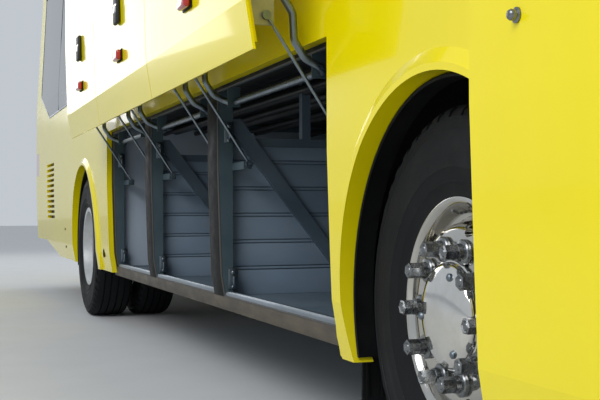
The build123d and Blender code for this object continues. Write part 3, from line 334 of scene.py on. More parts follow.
def tube(points, radius, sides=10):
    """A round pipe or bead along points."""
    line = bpy.data.curves.new("run", "CURVE")
    line.dimensions = "3D"
    line.bevel_depth = radius
    line.bevel_resolution = sides // 4
    line.use_fill_caps = True
    run = line.splines.new("POLY")
    run.points.add(len(points) - 1)
    for knot, point in zip(run.points, points):
        knot.co = (*point, 1)
    piece = bpy.data.objects.new("run", line)
    bpy.context.collection.objects.link(piece)
    select(piece)
    bpy.ops.object.convert(target="MESH")
    return bpy.context.object


def pick(piece, test):
    """Selects the faces whose middle and normal pass a test, in edit mode."""
    bpy.context.view_layer.objects.active = piece
    bpy.ops.object.mode_set(mode="EDIT")
    bpy.ops.mesh.select_mode(type="FACE")
    bpy.ops.mesh.select_all(action="DESELECT")
    bpy.ops.object.mode_set(mode="OBJECT")
    for face in piece.data.polygons:
        face.select = test(face.center, face.normal)
    bpy.ops.object.mode_set(mode="EDIT")


def copies(piece, places):
    """Copies of a piece moved by each matrix, each with its own mesh; the piece itself goes."""
    made = []
    for place in places:
        twin = piece.copy()
        twin.data = piece.data.copy()
        twin.data.transform(place)
        if place.determinant() < 0:
            twin.data.flip_normals()
        bpy.context.collection.objects.link(twin)
        made.append(twin)
    bpy.data.objects.remove(piece)
    return made


def moved(piece, place):
    """A piece moved by a matrix, down to its mesh."""
    return copies(piece, [place])[0]


def placed(piece, place):
    """A copy of a piece moved by a matrix; the piece itself stays."""
    return moved(piece.copy(), place)


def joined(pieces):
    """Several pieces as one object."""
    clear()
    for piece in pieces:
        piece.select_set(True)
    bpy.context.view_layer.objects.active = pieces[0]
    bpy.ops.object.join()
    return pieces[0]


def settle(piece, name, body, material, smooth=CRISP):
    """Names a piece, gives it its finish and sets it on its body."""
    piece.name = name
    select(piece)
    piece.data.materials.clear()
    piece.data.materials.append(material)
    bpy.ops.object.shade_smooth_by_angle(angle=math.radians(smooth))
    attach(piece, body)
    return piece


def mirrored(side):
    """The matrix that takes a piece modelled for the left side to a side."""
    return Matrix.Scale(side, 4, (0, 1, 0))


def at(x, y, z):
    """The matrix that moves a piece by a distance along each axis."""
    return Matrix.Translation((x, y, z))


def round_axle(count, first, step, out, radius):
    """Places round the left wheel's axle: angles in degrees, distance outward and radius."""
    return [Matrix.Rotation(math.radians(first + step * n), 4, "Y") @ at(0, out, radius)
            for n in range(count)]


def both_sides(piece, name, material, smooth=CRISP):
    """A piece modelled for the coach's left side, set on both."""
    for side_name, sign in SIDES.items():
        twin = placed(piece, mirrored(sign))
        settle(twin, f"{name}_{side_name}", "coach", material, smooth)
    bpy.data.objects.remove(piece)


def side_in(z):
    """How far the coach's side stands in at a level."""
    for (high, in_high), (low, in_low) in zip(SIDE_CURVE, SIDE_CURVE[1:]):
        if z >= low or low == SIDE_CURVE[-1][0]:
            return in_high + (in_low - in_high) * (high - z) / (high - low)


def side_strip(x0, x1, near, far, levels, edge=0.001):
    """A strip along the left side's curve, between two places and two depths, through levels."""
    front = [(x0, HALF - side_in(z) - near, z) for z in levels]
    back = [(x0, HALF - side_in(z) - far, z) for z in reversed(levels)]
    return plate([*front, *back], (x1 - x0, 0, 0), edge)


def side_block(x, level, half_size, proud, edge, segments=2):
    """A block on the left side: half its length and height, and how far its faces stand out."""
    y = HALF - side_in(level)
    return bar((x - half_size[0], y + proud[0], level - half_size[1]),
               (x + half_size[0], y + proud[1], level + half_size[1]), edge, segments)


def on_side(x, z):
    """The matrix that moves a piece from the origin to the left side's face."""
    return at(x, HALF - side_in(z), z)


def trim_below(piece, level):
    """Cuts a piece off at a level and closes the cut."""
    select(piece)
    bpy.ops.object.mode_set(mode="EDIT")
    bpy.ops.mesh.select_mode(type="VERT")
    bpy.ops.mesh.select_all(action="SELECT")
    bpy.ops.mesh.bisect(plane_co=(0, 0, level), plane_no=(0, 0, 1), use_fill=True,
                        clear_inner=True)
    bpy.ops.object.mode_set(mode="OBJECT")


# Wheels, for the left side. A profile's points give distance outward along the axle and radius.
TYRE_Z = 0.532
FRONT_X = 3.40
REAR_X = -2.47
FRONT_TRACK = 1.040
REAR_TRACK = 0.922
TWIN_HALF = 0.165
WHEEL_STEPS = 96
BOLT_STEPS = 16
GROOVES = (0.026, 0.074)
GROOVE = ((-0.005, 0.5315), (-0.003, 0.520), (0.003, 0.520), (0.005, 0.5315))
TYRE_WALL = (
    (0.112, 0.527), (0.126, 0.516), (0.134, 0.498), (0.131, 0.492), (0.138, 0.470),
    (0.140, 0.466), (0.1385, 0.462), (0.1455, 0.415), (0.1455, 0.400), (0.142, 0.378),
    (0.144, 0.372), (0.141, 0.366), (0.134, 0.340), (0.137, 0.336), (0.134, 0.330),
    (0.126, 0.314), (0.124, 0.300), (0.108, 0.286),
)
SHOULDER_OUT = 0.112
SHOULDER_LOW = 0.505
NOTCH = 0.005
tread = [(0.0, TYRE_Z)]
for groove in GROOVES:
    tread += [(groove + across, radius) for across, radius in GROOVE]
half = [*tread, *TYRE_WALL]
section = [(-across, radius) for across, radius in reversed(half[1:])] + half
tyre = turned([*section, section[0]], WHEEL_STEPS)


def in_notch(spot, normal):
    """Every second step round the tyre's shoulders."""
    step = round(math.atan2(spot.z, spot.x) / math.tau * WHEEL_STEPS - 0.5)
    on_shoulder = abs(spot.y) > SHOULDER_OUT and math.hypot(spot.x, spot.z) > SHOULDER_LOW
    return on_shoulder and step % 2 == 0


pick(tyre, in_notch)
bpy.ops.mesh.extrude_region_shrink_fatten(TRANSFORM_OT_shrink_fatten={"value": -NOTCH})
bpy.ops.object.mode_set(mode="OBJECT")

STUDS = 10
STUD_STEP = 36
HAND_HOLE_R = 0.021
HAND_HOLE_RING = 0.2285
PUNCH_LENGTH = 0.3
PUNCH_OUT = 0.09
PUNCH_STEPS = 28
disc =turned((
    (0.112, 0.286), (0.116, 0.296), (0.122, 0.299), (0.127, 0.297), (0.129, 0.291),
    (0.126, 0.283), (0.112, 0.275), (0.098, 0.270), (0.078, 0.267), (0.070, 0.262),
    (0.066, 0.252), (0.076, 0.243), (0.098, 0.236), (0.118, 0.229), (0.130, 0.221),
    (0.136, 0.212), (0.137, 0.202), (0.137, 0.136), (0.120, 0.130), (0.110, 0.130),
    (0.108, 0.19), (0.092, 0.214), (0.060, 0.240), (0.020, 0.252), (-0.060, 0.252),
    (-0.110, 0.262), (-0.122, 0.280), (-0.127, 0.292), (-0.122, 0.299), (-0.112, 0.286),
    (0.112, 0.286)), WHEEL_STEPS)
punches = joined(copies(rod(HAND_HOLE_R, PUNCH_LENGTH, PUNCH_STEPS),
                        round_axle(STUDS, STUD_STEP / 2, STUD_STEP, PUNCH_OUT, HAND_HOLE_RING)))
cut = disc.modifiers.new("hand_holes", "BOOLEAN")
cut.object = punches
cut.operation = "DIFFERENCE"
cut.solver = "EXACT"
select(disc)
bpy.ops.object.modifier_apply(modifier="hand_holes")
bpy.data.objects.remove(punches)

CAP_SCREWS = 3
FIRST_SCREW = 25
SCREW_STEP = 120
CAP_SCREW_RING = 0.108
hub_cap = turned((
    (0.136, 0.142), (0.143, 0.142), (0.145, 0.139), (0.145, 0.134), (0.156, 0.1325),
    (0.163, 0.129), (0.169, 0.120), (0.174, 0.105), (0.178, 0.084), (0.181, 0.058),
    (0.1825, 0.030), (0.183, 0.0)), WHEEL_STEPS)
cap_screw = turned(((0.170, 0.010), (0.177, 0.010), (0.180, 0.007), (0.181, 0.0)), BOLT_STEPS)
cap_screws = joined(copies(cap_screw, round_axle(CAP_SCREWS, FIRST_SCREW, SCREW_STEP, 0,
                                                 CAP_SCREW_RING)))

# A wheel nut: its hexagon, inset and raised into a chamfer and then dished, its skirt and stud
NUT_R = 0.0205
NUT_LENGTH = 0.036
NUT_MIDDLE = 0.044
NUT_END = ((0.0035, 0.003), (0.005, -0.004))
NUT_RING = 0.170
FIRST_NUT = 56.6
hexagon = rod(NUT_R, NUT_LENGTH, 6, NUT_MIDDLE)
pick(hexagon, lambda spot, normal: normal.y > 0.9)
for thickness, rise in NUT_END:
    bpy.ops.mesh.inset(thickness=thickness)
    bpy.ops.transform.translate(value=(0, rise, 0))
bpy.ops.object.mode_set(mode="OBJECT")
skirt = turned(((0.0, 0.018), (0.0, 0.031), (0.003, 0.0325), (0.010, 0.0325), (0.013, 0.030),
                (0.015, 0.0225), (0.028, 0.0215), (0.029, 0.012)), 28)
stud = turned(((0.05, 0.0105), (0.062, 0.0105), (0.064, 0.0085), (0.064, 0.0)), BOLT_STEPS)
wheel_nut = joined([hexagon, skirt, stud])

valve = tube(((0.0, 0.09, 0.262), (0.0, 0.12, 0.255), (0.0, 0.142, 0.262)), 0.004)
FRONT_NUTS_OUT = 0.137
REAR_NUTS_OUT = 0.016
front_nuts = joined(copies(wheel_nut.copy(),
                           round_axle(STUDS, FIRST_NUT, -STUD_STEP, FRONT_NUTS_OUT, NUT_RING)))
rear_nuts = joined(copies(wheel_nut, round_axle(STUDS, FIRST_NUT, -STUD_STEP, 0.0, NUT_RING)))
for side_name, sign in SIDES.items():
    hub = at(FRONT_X, sign * FRONT_TRACK, TYRE_Z) @ mirrored(sign)
    body = f"wheel_front_{side_name}"
    rubber = settle(placed(tyre, hub), f"road_tyre_front_{side_name}", body, tyre_rubber,
                    FIRM)
    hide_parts(f"front_tyre_{side_name}")
    wheel = settle(placed(disc, hub), f"wheel_disc_front_{side_name}", body, alloy_polished,
                   FIRM)
    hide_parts(f"front_rim_{side_name}")
    for pattern, name, material, smooth in (
            (hub_cap, "hub_cap", chrome, ROUND),
            (cap_screws, "hub_cap_screws", steel_zinc, CRISP),
            (front_nuts, "wheel_nuts_front", nut_steel, CRISP),
            (valve, "valve_front", nut_steel, CRISP)):
        settle(placed(pattern, hub), f"{name}_{side_name}", body, material,
               smooth)
    body = f"wheels_rear_{side_name}"
    twin_places = [at(REAR_X, sign * (REAR_TRACK + shift), TYRE_Z) @ mirrored(sign)
                   for shift in (-TWIN_HALF, TWIN_HALF)]
    twins = settle(joined(copies(tyre.copy(), twin_places)), f"road_tyres_rear_{side_name}", body,
                   tyre_rubber, FIRM)
    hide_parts(f"rear_tyres_{side_name}")
    rear_hub = at(REAR_X, sign * (REAR_TRACK + REAR_NUTS_OUT), TYRE_Z) @ mirrored(sign)
    settle(placed(rear_nuts, rear_hub), f"wheel_nuts_rear_{side_name}", body, nut_steel)
for pattern in (tyre, disc, hub_cap, cap_screws, front_nuts, rear_nuts, valve):
    bpy.data.objects.remove(pattern)

# Rubber edging inside the wheel arches, its profile given as place across and reach over the arch
ARCH_Z = 0.545
ARCHES = (("front", 3.42, 0.590), ("rear", REAR_X, 0.612))
EDGING = ((1.150, -0.001), (1.205, -0.001), (1.212, -0.003), (1.214, -0.008), (1.210, -0.012),
          (1.200, -0.010), (1.150, -0.010), (1.150, -0.001))
SKIRT_LOW = 0.36
for place, arch_x, arch_r in ARCHES:
    edging = turned([(across, arch_r + reach) for across, reach in EDGING], WHEEL_STEPS)
    edging = moved(edging, at(arch_x, 0, ARCH_Z))
    trim_below(edging, SKIRT_LOW)
    both_sides(edging, f"arch_edging_{place}", rubber_seal, EASED)

# Ribbed mud flaps behind the front wheels: a sheet with upright ribs on its front face
MUD_X = 2.745
MUD_THICK = 0.010
RIBS = 8
RIB_FROM = 0.775
RIB_PITCH = 0.05
RIB_WIDE = 0.014
ribs = [bar((MUD_X + 0.007, y, 0.22), (MUD_X + 0.016, y + RIB_WIDE, 1.08), 0.003)
        for y in [RIB_FROM + RIB_PITCH * n for n in range(RIBS)]]
mud_sheet = bar((MUD_X, 0.75, 0.20), (MUD_X + MUD_THICK, 1.15, 1.10), 0.002)
both_sides(joined([mud_sheet, *ribs]), "mud_flap", rubber_seal)

# Luggage bays: faces of the posts, flap seals, header, sill and thresholds
OPEN_LOW = 0.425
OPEN_HIGH = 1.319
SIDE_LEVELS = (OPEN_LOW, 0.52, 0.68, 0.98, OPEN_HIGH)
BAYS_REAR = POSTS[0] - POST_HALF
BAYS_FRONT = POSTS[3] + POST_HALF
SILL_LOW = 0.364
# Depths behind the side: the post faces, the header strip, the sill strip and the seals' middle
POST_FACE_DEEP = (0.034, 0.040)
HEADER_DEEP = (0.032, 0.038)
SILL_DEEP = (0.032, 0.0355)
SEAL_DEEP = 0.039
SEAL_OVERLAP = 0.005
SEAL_R = 0.006
FACE_HALF = POST_HALF - 0.01
both_sides(joined([side_strip(post - FACE_HALF, post + FACE_HALF, *POST_FACE_DEEP, SIDE_LEVELS)
                   for post in POSTS]), "post_faces", rubber_seal)
upright_places = ([post + POST_HALF - SEAL_OVERLAP for post in POSTS[:3]]
                  + [post - POST_HALF + SEAL_OVERLAP for post in POSTS[1:]])
beads = [tube([(x, HALF - side_in(z) - SEAL_DEEP, z) for z in SIDE_LEVELS], SEAL_R)
         for x in upright_places]
for rear, front in BAYS:
    for z in (OPEN_HIGH, OPEN_LOW):
        y = HALF - side_in(z) - SEAL_DEEP
        beads.append(tube([(rear, y, z), (front, y, z)], SEAL_R))
both_sides(joined(beads), "bay_seals", seal_grey, ROUND)
both_sides(bar((BAYS_REAR, HALF - HEADER_DEEP[1], OPEN_HIGH),
               (BAYS_FRONT, HALF - HEADER_DEEP[0], SEAM - 0.003)),
           "bay_header_strip", rubber_seal)
both_sides(side_strip(BAYS_REAR, BAYS_FRONT, *SILL_DEEP, (SILL_LOW, OPEN_LOW - 0.002)),
           "sill_strip", sill_rust)
# The threshold's profile: depth behind the side, and level
THRESHOLD = (
    (0.068, 0.405), (0.068, 0.440), (0.071, 0.446), (0.074, 0.440), (0.078, 0.446),
    (0.083, 0.440), (0.088, 0.446), (0.094, 0.440), (0.102, 0.444), (0.110, 0.444),
    (0.114, 0.425), (0.114, 0.405),
)
thresholds = [plate([(rear, HALF - deep, z) for deep, z in THRESHOLD], (front - rear, 0, 0))
              for rear, front in BAYS]
both_sides(joined(thresholds), "bay_thresholds", alloy_sill)

# Plank skins on both faces of the walls between the bays, and plain panels on the end walls
WALL_FACE = 0.020
WALL_REACH = 1.142
WALL_TOP = 1.083
SKIN = 0.005
PLANK_PITCH = 0.118
PLANK_GAP = 0.0095
STRIP_HALF = 0.0045
JOINTS = [OPEN_LOW + PLANK_PITCH * n for n in range(1, 6)]
plank_lows = [OPEN_LOW, *[joint + PLANK_GAP for joint in JOINTS]]
plank_highs = [*[joint - PLANK_GAP for joint in JOINTS], WALL_TOP]
planks = [bar((0, -WALL_REACH, low), (SKIN, WALL_REACH, high), 0.0018)
          for low, high in zip(plank_lows, plank_highs)]
planks += [bar((0, -WALL_REACH, joint - STRIP_HALF), (SKIN, WALL_REACH, joint + STRIP_HALF))
           for joint in JOINTS]
faces = [at(post + WALL_FACE, 0, 0) for post in POSTS[1:3]]
faces += [at(post - WALL_FACE - SKIN, 0, 0) for post in POSTS[1:3]]
settle(joined(copies(joined(planks), faces)), "bay_planks", "coach", enamel_plank)
END_FACE = 0.030
END_BACK = 0.034
END_LOW = 0.43
END_HIGH = 1.36
ends = [bar((x0, -WALL_REACH, END_LOW), (x1, WALL_REACH, END_HIGH))
        for x0, x1 in ((POSTS[0] + END_FACE, POSTS[0] + END_BACK),
                       (POSTS[3] - END_BACK, POSTS[3] - END_FACE))]
settle(joined(ends), "bay_end_panels", "coach", enamel_pale)

# Latch strikers bolted to the posts, low and high
STRIKER_DEEP = 0.085
STRIKER_LEVELS = (0.50, 1.14)
STRIKER_BOLTS = (-0.036, 0.028)
bolt = turned(((0.0, 0.009), (0.005, 0.009), (0.008, 0.006), (0.008, 0.0)), 12)
bolt = moved(bolt, Matrix.Rotation(math.radians(-90), 4, "Z"))
striker = joined([bar((0.0, -0.022, -0.045), (0.005, 0.022, 0.045), 0.002),
                  bar((0.004, -0.006, -0.030), (0.024, 0.006, 0.012), 0.004),
                  *copies(bolt, [at(0.005, 0, z) for z in STRIKER_BOLTS])])
spots = [at(post + POST_HALF, HALF - side_in(z) - STRIKER_DEEP, z)
         for post in POSTS[:3] for z in STRIKER_LEVELS]
both_sides(joined(copies(striker, spots)), "latch_strikers", steel_zinc)

# Pipes and looms under the cabin floor: distance from the middle, level and radius
PIPES = ((0.95, 1.352, 0.020), (0.86, 1.325, 0.012), (0.78, 1.350, 0.028), (0.64, 1.335, 0.016),
         (0.52, 1.345, 0.024), (0.36, 1.330, 0.014), (0.20, 1.350, 0.020))
PIPE_STOP = 0.04
pipes = [tube([(POSTS[0] + PIPE_STOP, y, z), (POSTS[3] - PIPE_STOP, y, z)], radius, 16)
         for y, z, radius in PIPES]
both_sides(joined(pipes), "underfloor_pipes", plastic_black, ROUND)

# Flap fittings, modelled on the shut left flaps; the right flaps stand open at rest
FLAP_OUT = 0.277
FLAP_UP = 0.9163
SHIFT = {"left": at(0, 0, 0), "right": at(0, -FLAP_OUT, FLAP_UP) @ mirrored(-1)}
LAMP_Z = 0.639
HANDLE_Z = 0.867
FITTINGS = (
    # place, lamp along the coach, handle along the coach
    ("rear", -0.687, -0.687),
    ("middle", 0.622, 0.623),
    ("front", 2.009, 1.970),
)
for place, lamp_x, handle_x in FITTINGS:
    patterns = (
        (side_block(lamp_x, LAMP_Z, (0.060, 0.025), (0.002, 0.030), 0.013, 5),
         "marker_lens", lens_red, "lamp_lens", ROUND),
        (side_block(lamp_x, LAMP_Z, (0.064, 0.029), (-0.001, 0.006), 0.003),
         "marker_gasket", rubber_seal, "liner_plastic", CRISP),
        (side_block(handle_x, HANDLE_Z, (0.0475, 0.075), (-0.001, 0.022), 0.010, 4),
         "flap_handle", plastic_black, "liner_plastic", ROUND),
        (side_block(handle_x, HANDLE_Z, (0.040, 0.022), (0.010, 0.026), 0.006, 3),
         "handle_band", chrome, "polished_alloy", ROUND),
    )
    for side_name, shift in SHIFT.items():
        for pattern, name, material, slot, smooth in patterns:
            settle(placed(pattern, shift), f"{name}_{side_name}_{place}",
                   f"luggage_flap_{side_name}_{place}", material, smooth)
    for row in patterns:
        bpy.data.objects.remove(row[0])

# Grey bracket plates inside the open flaps, where the link rods' heads are bolted
LINK_REAR = 0.190
LINK_FRONT = 0.032
PLATE_X = (-0.0146, -0.0074)
PLATE_DEEP = (0.032, 0.1475)
PLATE_Z = (0.4645, 0.5705)
for place, (rear, front) in zip(PLACES, BAYS):
    brackets = [bar((link + PLATE_X[0], HALF - PLATE_DEEP[1], PLATE_Z[0]),
                    (link + PLATE_X[1], HALF - PLATE_DEEP[0], PLATE_Z[1]), 0.0012)
                for link in (rear + LINK_REAR, front - LINK_FRONT)]
    settle(moved(joined(brackets), SHIFT["right"]), f"link_head_plates_{place}",
           f"luggage_flap_right_{place}", zinc_plate)

# Lock knob on the open entry door
KNOB_PLACE = at(4.293, -1.540, 1.102)
knob = turned(((-0.001, 0.013), (0.003, 0.013), (0.005, 0.009), (0.012, 0.0095), (0.016, 0.007),
               (0.0175, 0.0)), 24)
settle(moved(knob, KNOB_PLACE @ mirrored(-1)), "door_lock_knob", "entry_door_leaf", nut_steel,
       EASED)

# Behind the louvres, in the latch hole and on the rear quarter
LATCH_HOLE = (-1.602, 0.510)
PLUG_X = -3.654
PLUG_LEVELS = (0.647, 0.494)
BACKING_X = (-5.010, -4.385)
BACKING_DEEP = (0.047, 0.052)
BACKING_Z = (0.72, 1.30)
both_sides(bar((BACKING_X[0], HALF - BACKING_DEEP[1], BACKING_Z[0]),
               (BACKING_X[1], HALF - BACKING_DEEP[0], BACKING_Z[1])),
           "louvre_backing", plastic_black)
grommet = turned(((-0.040, 0.0), (-0.040, 0.023), (0.000, 0.024), (0.003, 0.027), (0.003, 0.031),
                  (-0.001, 0.032)), 24)
plug = turned(((-0.001, 0.013), (0.002, 0.012), (0.004, 0.008), (0.004, 0.0)), BOLT_STEPS)
both_sides(joined([moved(grommet, on_side(*LATCH_HOLE)),
                   *copies(plug, [on_side(PLUG_X, z) for z in PLUG_LEVELS])]),
           "quarter_grommets", rubber_seal, EASED)

# Seals round the side glass, and the grey trim under it
BAND = (-5.54, 4.82)
PANES = 7
GLASS_TOP = 3.020
BELT = 1.725
SEAL_BEND = 2.4
SWEEP_SEAL = 2.01
PANE_SEAL_HALF = 0.008
PANE_SEAL_DEEP = (-0.002, 0.006)
pane_pitch = (BAND[1] - BAND[0]) / PANES
seals = []
for n in range(PANES + 1):
    x = BAND[0] + pane_pitch * n
    low = SWEEP_SEAL if n == 0 else BELT + 0.004
    seals.append(side_strip(x - PANE_SEAL_HALF, x + PANE_SEAL_HALF, *PANE_SEAL_DEEP,
                            (low, SEAL_BEND, GLASS_TOP)))
seals.append(tube([(x, HALF - side_in(GLASS_TOP), GLASS_TOP) for x in BAND], 0.007))
both_sides(joined(seals), "window_seals", rubber_seal, EASED)
# The trim's outline: place along, distance in and level. It sweeps up at the rear.
TRIM = ((BAND[0], 0.006, 2.000), (-4.73, 0, BELT), (BAND[1], 0, BELT), (BAND[1], 0, BELT - 0.014),
        (-4.735, 0, BELT - 0.014), (BAND[0], 0.006, 1.985))
trim = plate([(x, HALF - inward, z) for x, inward, z in TRIM], (0, 0.004, 0), 0.001)
both_sides(trim, "belt_trim", alloy_sill)

# Mirror glasses, let into the mirrors' rear faces
MIRROR_LOW = (5.827, 1.350, 2.22)
MIRROR_HIGH = (5.832, 1.550, 2.70)
both_sides(bar(MIRROR_LOW, MIRROR_HIGH, 0.002), "mirror_glass", chrome)

# Engine lid with its vents and seal
TAIL = -6.0
LID_HALF = 0.78
LID_LOW = 0.66
LID_HIGH = 1.66
LID_SEAL = 0.005
VENTS = 9
VENT_MIDDLE = 0.46
VENT_HALF = 0.22
VENT_FROM = 0.80
VENT_HIGH = 0.022
VENT_PITCH = 0.05
lid =bar((TAIL - 0.004, -LID_HALF, LID_LOW), (TAIL + 0.010, LID_HALF, LID_HIGH), 0.004)
settle(lid, "engine_lid", "coach", enamel_yellow)
vents = [bar((TAIL - 0.007, y - VENT_HALF, z), (TAIL - 0.002, y + VENT_HALF, z + VENT_HIGH), 0.002)
         for y in (-VENT_MIDDLE, VENT_MIDDLE)
         for z in [VENT_FROM + VENT_PITCH * n for n in range(VENTS)]]
settle(joined(vents), "engine_vents", "coach", plastic_black)
edge_y = LID_HALF + LID_SEAL
edge_low = LID_LOW - LID_SEAL
edge_high = LID_HIGH + LID_SEAL
lid_edge = [(TAIL - 0.003, y, z) for y, z in (
    (-edge_y, edge_low), (edge_y, edge_low), (edge_y, edge_high), (-edge_y, edge_high),
    (-edge_y, edge_low))]
settle(tube(lid_edge, LID_SEAL), "engine_lid_seal", "coach", rubber_seal, ROUND)

# Blank number plates, behind and in front: their two faces along the coach, and low edge
NUMBER_HALF = 0.26
NUMBER_HIGH = 0.12
NUMBER_PLACES = ((TAIL - 0.010, TAIL - 0.003, 1.30), (-TAIL - 0.012, -TAIL + 0.004, 0.50))
number_plates = [bar((x0, -NUMBER_HALF, low), (x1, NUMBER_HALF, low + NUMBER_HIGH), 0.002)
                 for x0, x1, low in NUMBER_PLACES]
settle(joined(number_plates), "blank_number_plates", "coach", enamel_pale)

# The air conditioner's intake slats, flush in its sides
SLATS = 3
SLAT_PITCH = 0.022
SLAT_HIGH = 0.012
SLAT_DEEP = 0.012
SLAT_STOP = 0.25
SLAT_SHARE = 0.35
unit_low, unit_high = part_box("air_conditioner")
slat_from = unit_low[2] + SLAT_SHARE * (unit_high[2] - unit_low[2])
slats = []
for sign in (-1, 1):
    y_low, y_high = sorted((sign * unit_high[1], sign * (unit_high[1] - SLAT_DEEP)))
    for n in range(SLATS):
        z = slat_from + SLAT_PITCH * n
        slats.append(bar((unit_low[0] + SLAT_STOP, y_low, z),
                         (unit_high[0] - SLAT_STOP, y_high, z + SLAT_HIGH), 0.002))
settle(joined(slats), "air_conditioner_slats", "coach", plastic_black)

# Berths: sprung pads of leathercloth on steel frames, in three rows and on two levels
CABIN_FLOOR = 1.45
BERTH_LENGTH = 1.65
BERTH_WIDTH = 0.58
BERTH_PITCH = 1.80
BERTH_REAR = -5.48
BERTHS_IN_ROW = 5
ROW_MIDDLES = (-0.85, 0.0, 0.85)
BERTH_LEVELS = {"lower": CABIN_FLOOR + 0.20, "upper": CABIN_FLOOR + 1.01}
berth_places = [(BERTH_REAR + BERTH_PITCH * n, y)
                for y in ROW_MIDDLES for n in range(BERTHS_IN_ROW)]
RAIL_R = 0.008
RAIL_Y = BERTH_WIDTH / 2 - RAIL_R
RAIL_END = BERTH_LENGTH - 0.01
LEG = 0.030
LEG_TOP = CABIN_FLOOR + 1.02
LEG_PLACES = (0.44, BERTH_LENGTH - 0.04)


def pad(outline, width, round_edge, crown):
    """A stuffed pad: its outline along the coach is extruded, rounded, crowned and smoothed."""
    piece = plate([(x, -width / 2, z) for x, z in outline], (0, width, 0), round_edge)
    bpy.ops.object.mode_set(mode="EDIT")
    bpy.ops.mesh.select_all(action="SELECT")
    bpy.ops.mesh.subdivide(number_cuts=2)
    bpy.ops.object.mode_set(mode="OBJECT")
    for point in piece.data.vertices:
        across = 1 - (2 * point.co.y / width) ** 2
        point.co.z += crown * (across - 1)
    soft = piece.modifiers.new("soft", "SUBSURF")
    soft.levels = 1
    soft.render_levels = 1
    bpy.ops.object.modifier_apply(modifier="soft")
    return piece


berth_pad = pad(((0.012, 0.425), (0.065, 0.442), (0.415, 0.108), (BERTH_LENGTH - 0.006, 0.106),
                 (BERTH_LENGTH - 0.006, 0.022), (0.385, 0.022)), BERTH_WIDTH - 0.03, 0.022, 0.012)
for level_name, level in BERTH_LEVELS.items():
    spots = [at(x, y, level) for x, y in berth_places]
    pads = settle(joined(copies(berth_pad.copy(), spots)), f"berth_pads_{level_name}", "coach",
                  vinyl_berth, ROUND)
    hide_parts("berths")
bpy.data.objects.remove(berth_pad)
frame_parts = [tube([(0.02, y, 0.40), (0.385, y, 0.02), (RAIL_END, y, 0.02)], RAIL_R)
               for y in (-RAIL_Y, RAIL_Y)]
frame_parts += [tube([(x, -RAIL_Y, z), (x, RAIL_Y, z)], RAIL_R)
                for x, z in ((0.05, 0.37), (0.385, 0.012), (1.0, 0.012), (RAIL_END, 0.012))]
spots = [at(x, y, level) for x, y in berth_places for level in BERTH_LEVELS.values()]
frames = copies(joined(frame_parts), spots)
legs = [bar((x + along, y + edge, CABIN_FLOOR), (x + along + LEG, y + edge + LEG, LEG_TOP), 0.003)
        for x, y in berth_places for along in LEG_PLACES
        for edge in (-BERTH_WIDTH / 2, BERTH_WIDTH / 2 - LEG)]
berth_frames = settle(joined([*frames, *legs]), "berth_frames", "coach", steel_zinc,
                      EASED)
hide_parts("berths")

# Driver's seat: cushion and back in leathercloth on a pedestal
SEAT_X = 4.65
DRIVER_Y = 0.64
cushion = pad(((0.008, 1.345), (0.008, 1.440), (0.492, 1.452), (0.492, 1.345)), 0.49, 0.03, 0.014)
cushion = moved(cushion, at(SEAT_X, DRIVER_Y, 0))
settle(cushion, "driver_cushion", "coach", vinyl_berth, ROUND)
backrest = pad(((-0.10, 1.40), (-0.10, 2.07), (-0.01, 2.07), (0.0, 1.46)), 0.47, 0.03, 0.012)
backrest = moved(backrest, at(SEAT_X, DRIVER_Y, 0))
settle(backrest, "driver_backrest", "coach", vinyl_berth, ROUND)
for piece in (cushion, backrest):
    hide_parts("driver_seat")
pedestal = joined([
    bar((SEAT_X + 0.13, DRIVER_Y - 0.12, 0.952), (SEAT_X + 0.37, DRIVER_Y + 0.12, 1.33), 0.012),
    bar((SEAT_X + 0.02, DRIVER_Y - 0.23, 1.322), (SEAT_X + 0.48, DRIVER_Y + 0.23, 1.348), 0.006)])
settle(pedestal, "driver_pedestal", "coach", plastic_black)
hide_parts("driver_seat")

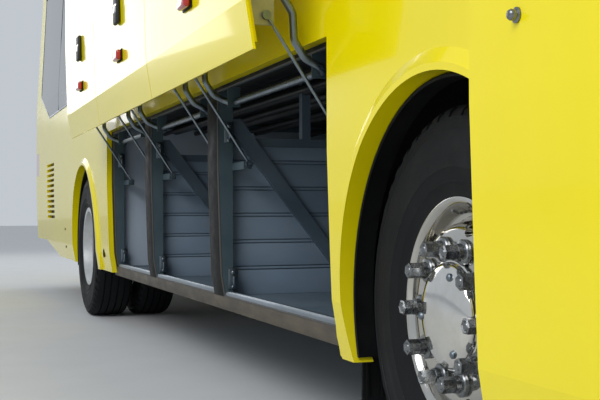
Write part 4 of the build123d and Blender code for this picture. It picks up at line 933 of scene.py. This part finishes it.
# Pale floor, painted matt, and soft studio light
FLOOR_SIZE = 120
clear()
bpy.ops.mesh.primitive_plane_add(size=FLOOR_SIZE)
floor = bpy.context.object
floor.name = "studio_floor"
floor_paint = bpy.data.materials.new("studio_floor_paint")
floor_paint.use_nodes = True
floor_tree = floor_paint.node_tree
floor_shader = floor_tree.nodes["Principled BSDF"]
floor_noise = add(floor_tree, "ShaderNodeTexNoise", {}, {"Scale": 3.0, "Detail": 4},
                  {"Vector": add(floor_tree, "ShaderNodeTexCoord").outputs["Object"]})
floor_tint = add(floor_tree, "ShaderNodeMix", {"data_type": "RGBA"},
                 {MIX_A: linear("#C9CACB"), MIX_B: linear("#D3D4D5")},
                 {MIX_SHARE: floor_noise.outputs["Fac"]})
floor_tree.links.new(floor_tint.outputs[MIX_RESULT], floor_shader.inputs["Base Color"])
floor_shader.inputs["Roughness"].default_value = 0.8
floor.data.materials.append(floor_paint)

world = bpy.data.worlds.new("studio_world")
bpy.context.scene.world = world
world.use_nodes = True
background = world.node_tree.nodes["Background"]
background.inputs["Color"].default_value = linear("#DCE3EA")
background.inputs["Strength"].default_value = 0.75

LAMPS = (
    # name, place, aimed at, width, height, power
    ("key", (7.0, -9.0, 8.0), (1.5, -1.0, 1.0), 8, 5, 760),
    ("fill", (12.0, 3.0, 6.0), (3.0, 0.0, 1.5), 8, 5, 300),
    ("rear", (-12.0, 5.0, 7.0), (-3.0, 0.0, 1.5), 8, 5, 220),
    ("flap_sky", (-15.0, -5.0, 6.6), (1.5, -1.5, 6.6), 4.4, 8, 215),
)
for name, spot, aim, width, height, power in LAMPS:
    data = bpy.data.lights.new(name, "AREA")
    data.shape = "RECTANGLE"
    data.size = width
    data.size_y = height
    data.energy = power
    lamp = bpy.data.objects.new(name, data)
    lamp.location = spot
    lamp.rotation_euler = (Vector(aim) - Vector(spot)).to_track_quat("-Z", "Y").to_euler()
    bpy.context.collection.objects.link(lamp)

# The camera stands at the eye and looks rearward along the coach's right side
ahead = Vector((-math.cos(YAW) * math.cos(PITCH), math.sin(YAW) * math.cos(PITCH),
                math.sin(PITCH)))
level = Vector((math.sin(YAW), math.cos(YAW), 0))
upright = level.cross(ahead)
right = level * math.cos(ROLL) + upright * math.sin(ROLL)
up = right.cross(ahead)
camera_data = bpy.data.cameras.new("photo_camera")
camera_data.sensor_width = SENSOR_MM
camera_data.lens = FOCAL_PX * SENSOR_MM / PHOTO_W
camera_data.clip_end = 300
camera = bpy.data.objects.new("photo_camera", camera_data)
camera.matrix_world = Matrix.Translation(EYE) @ Matrix((right, up, -ahead)).transposed().to_4x4()
bpy.context.collection.objects.link(camera)
bpy.context.scene.camera = camera
bpy.context.scene.view_settings.view_transform = "Standard"
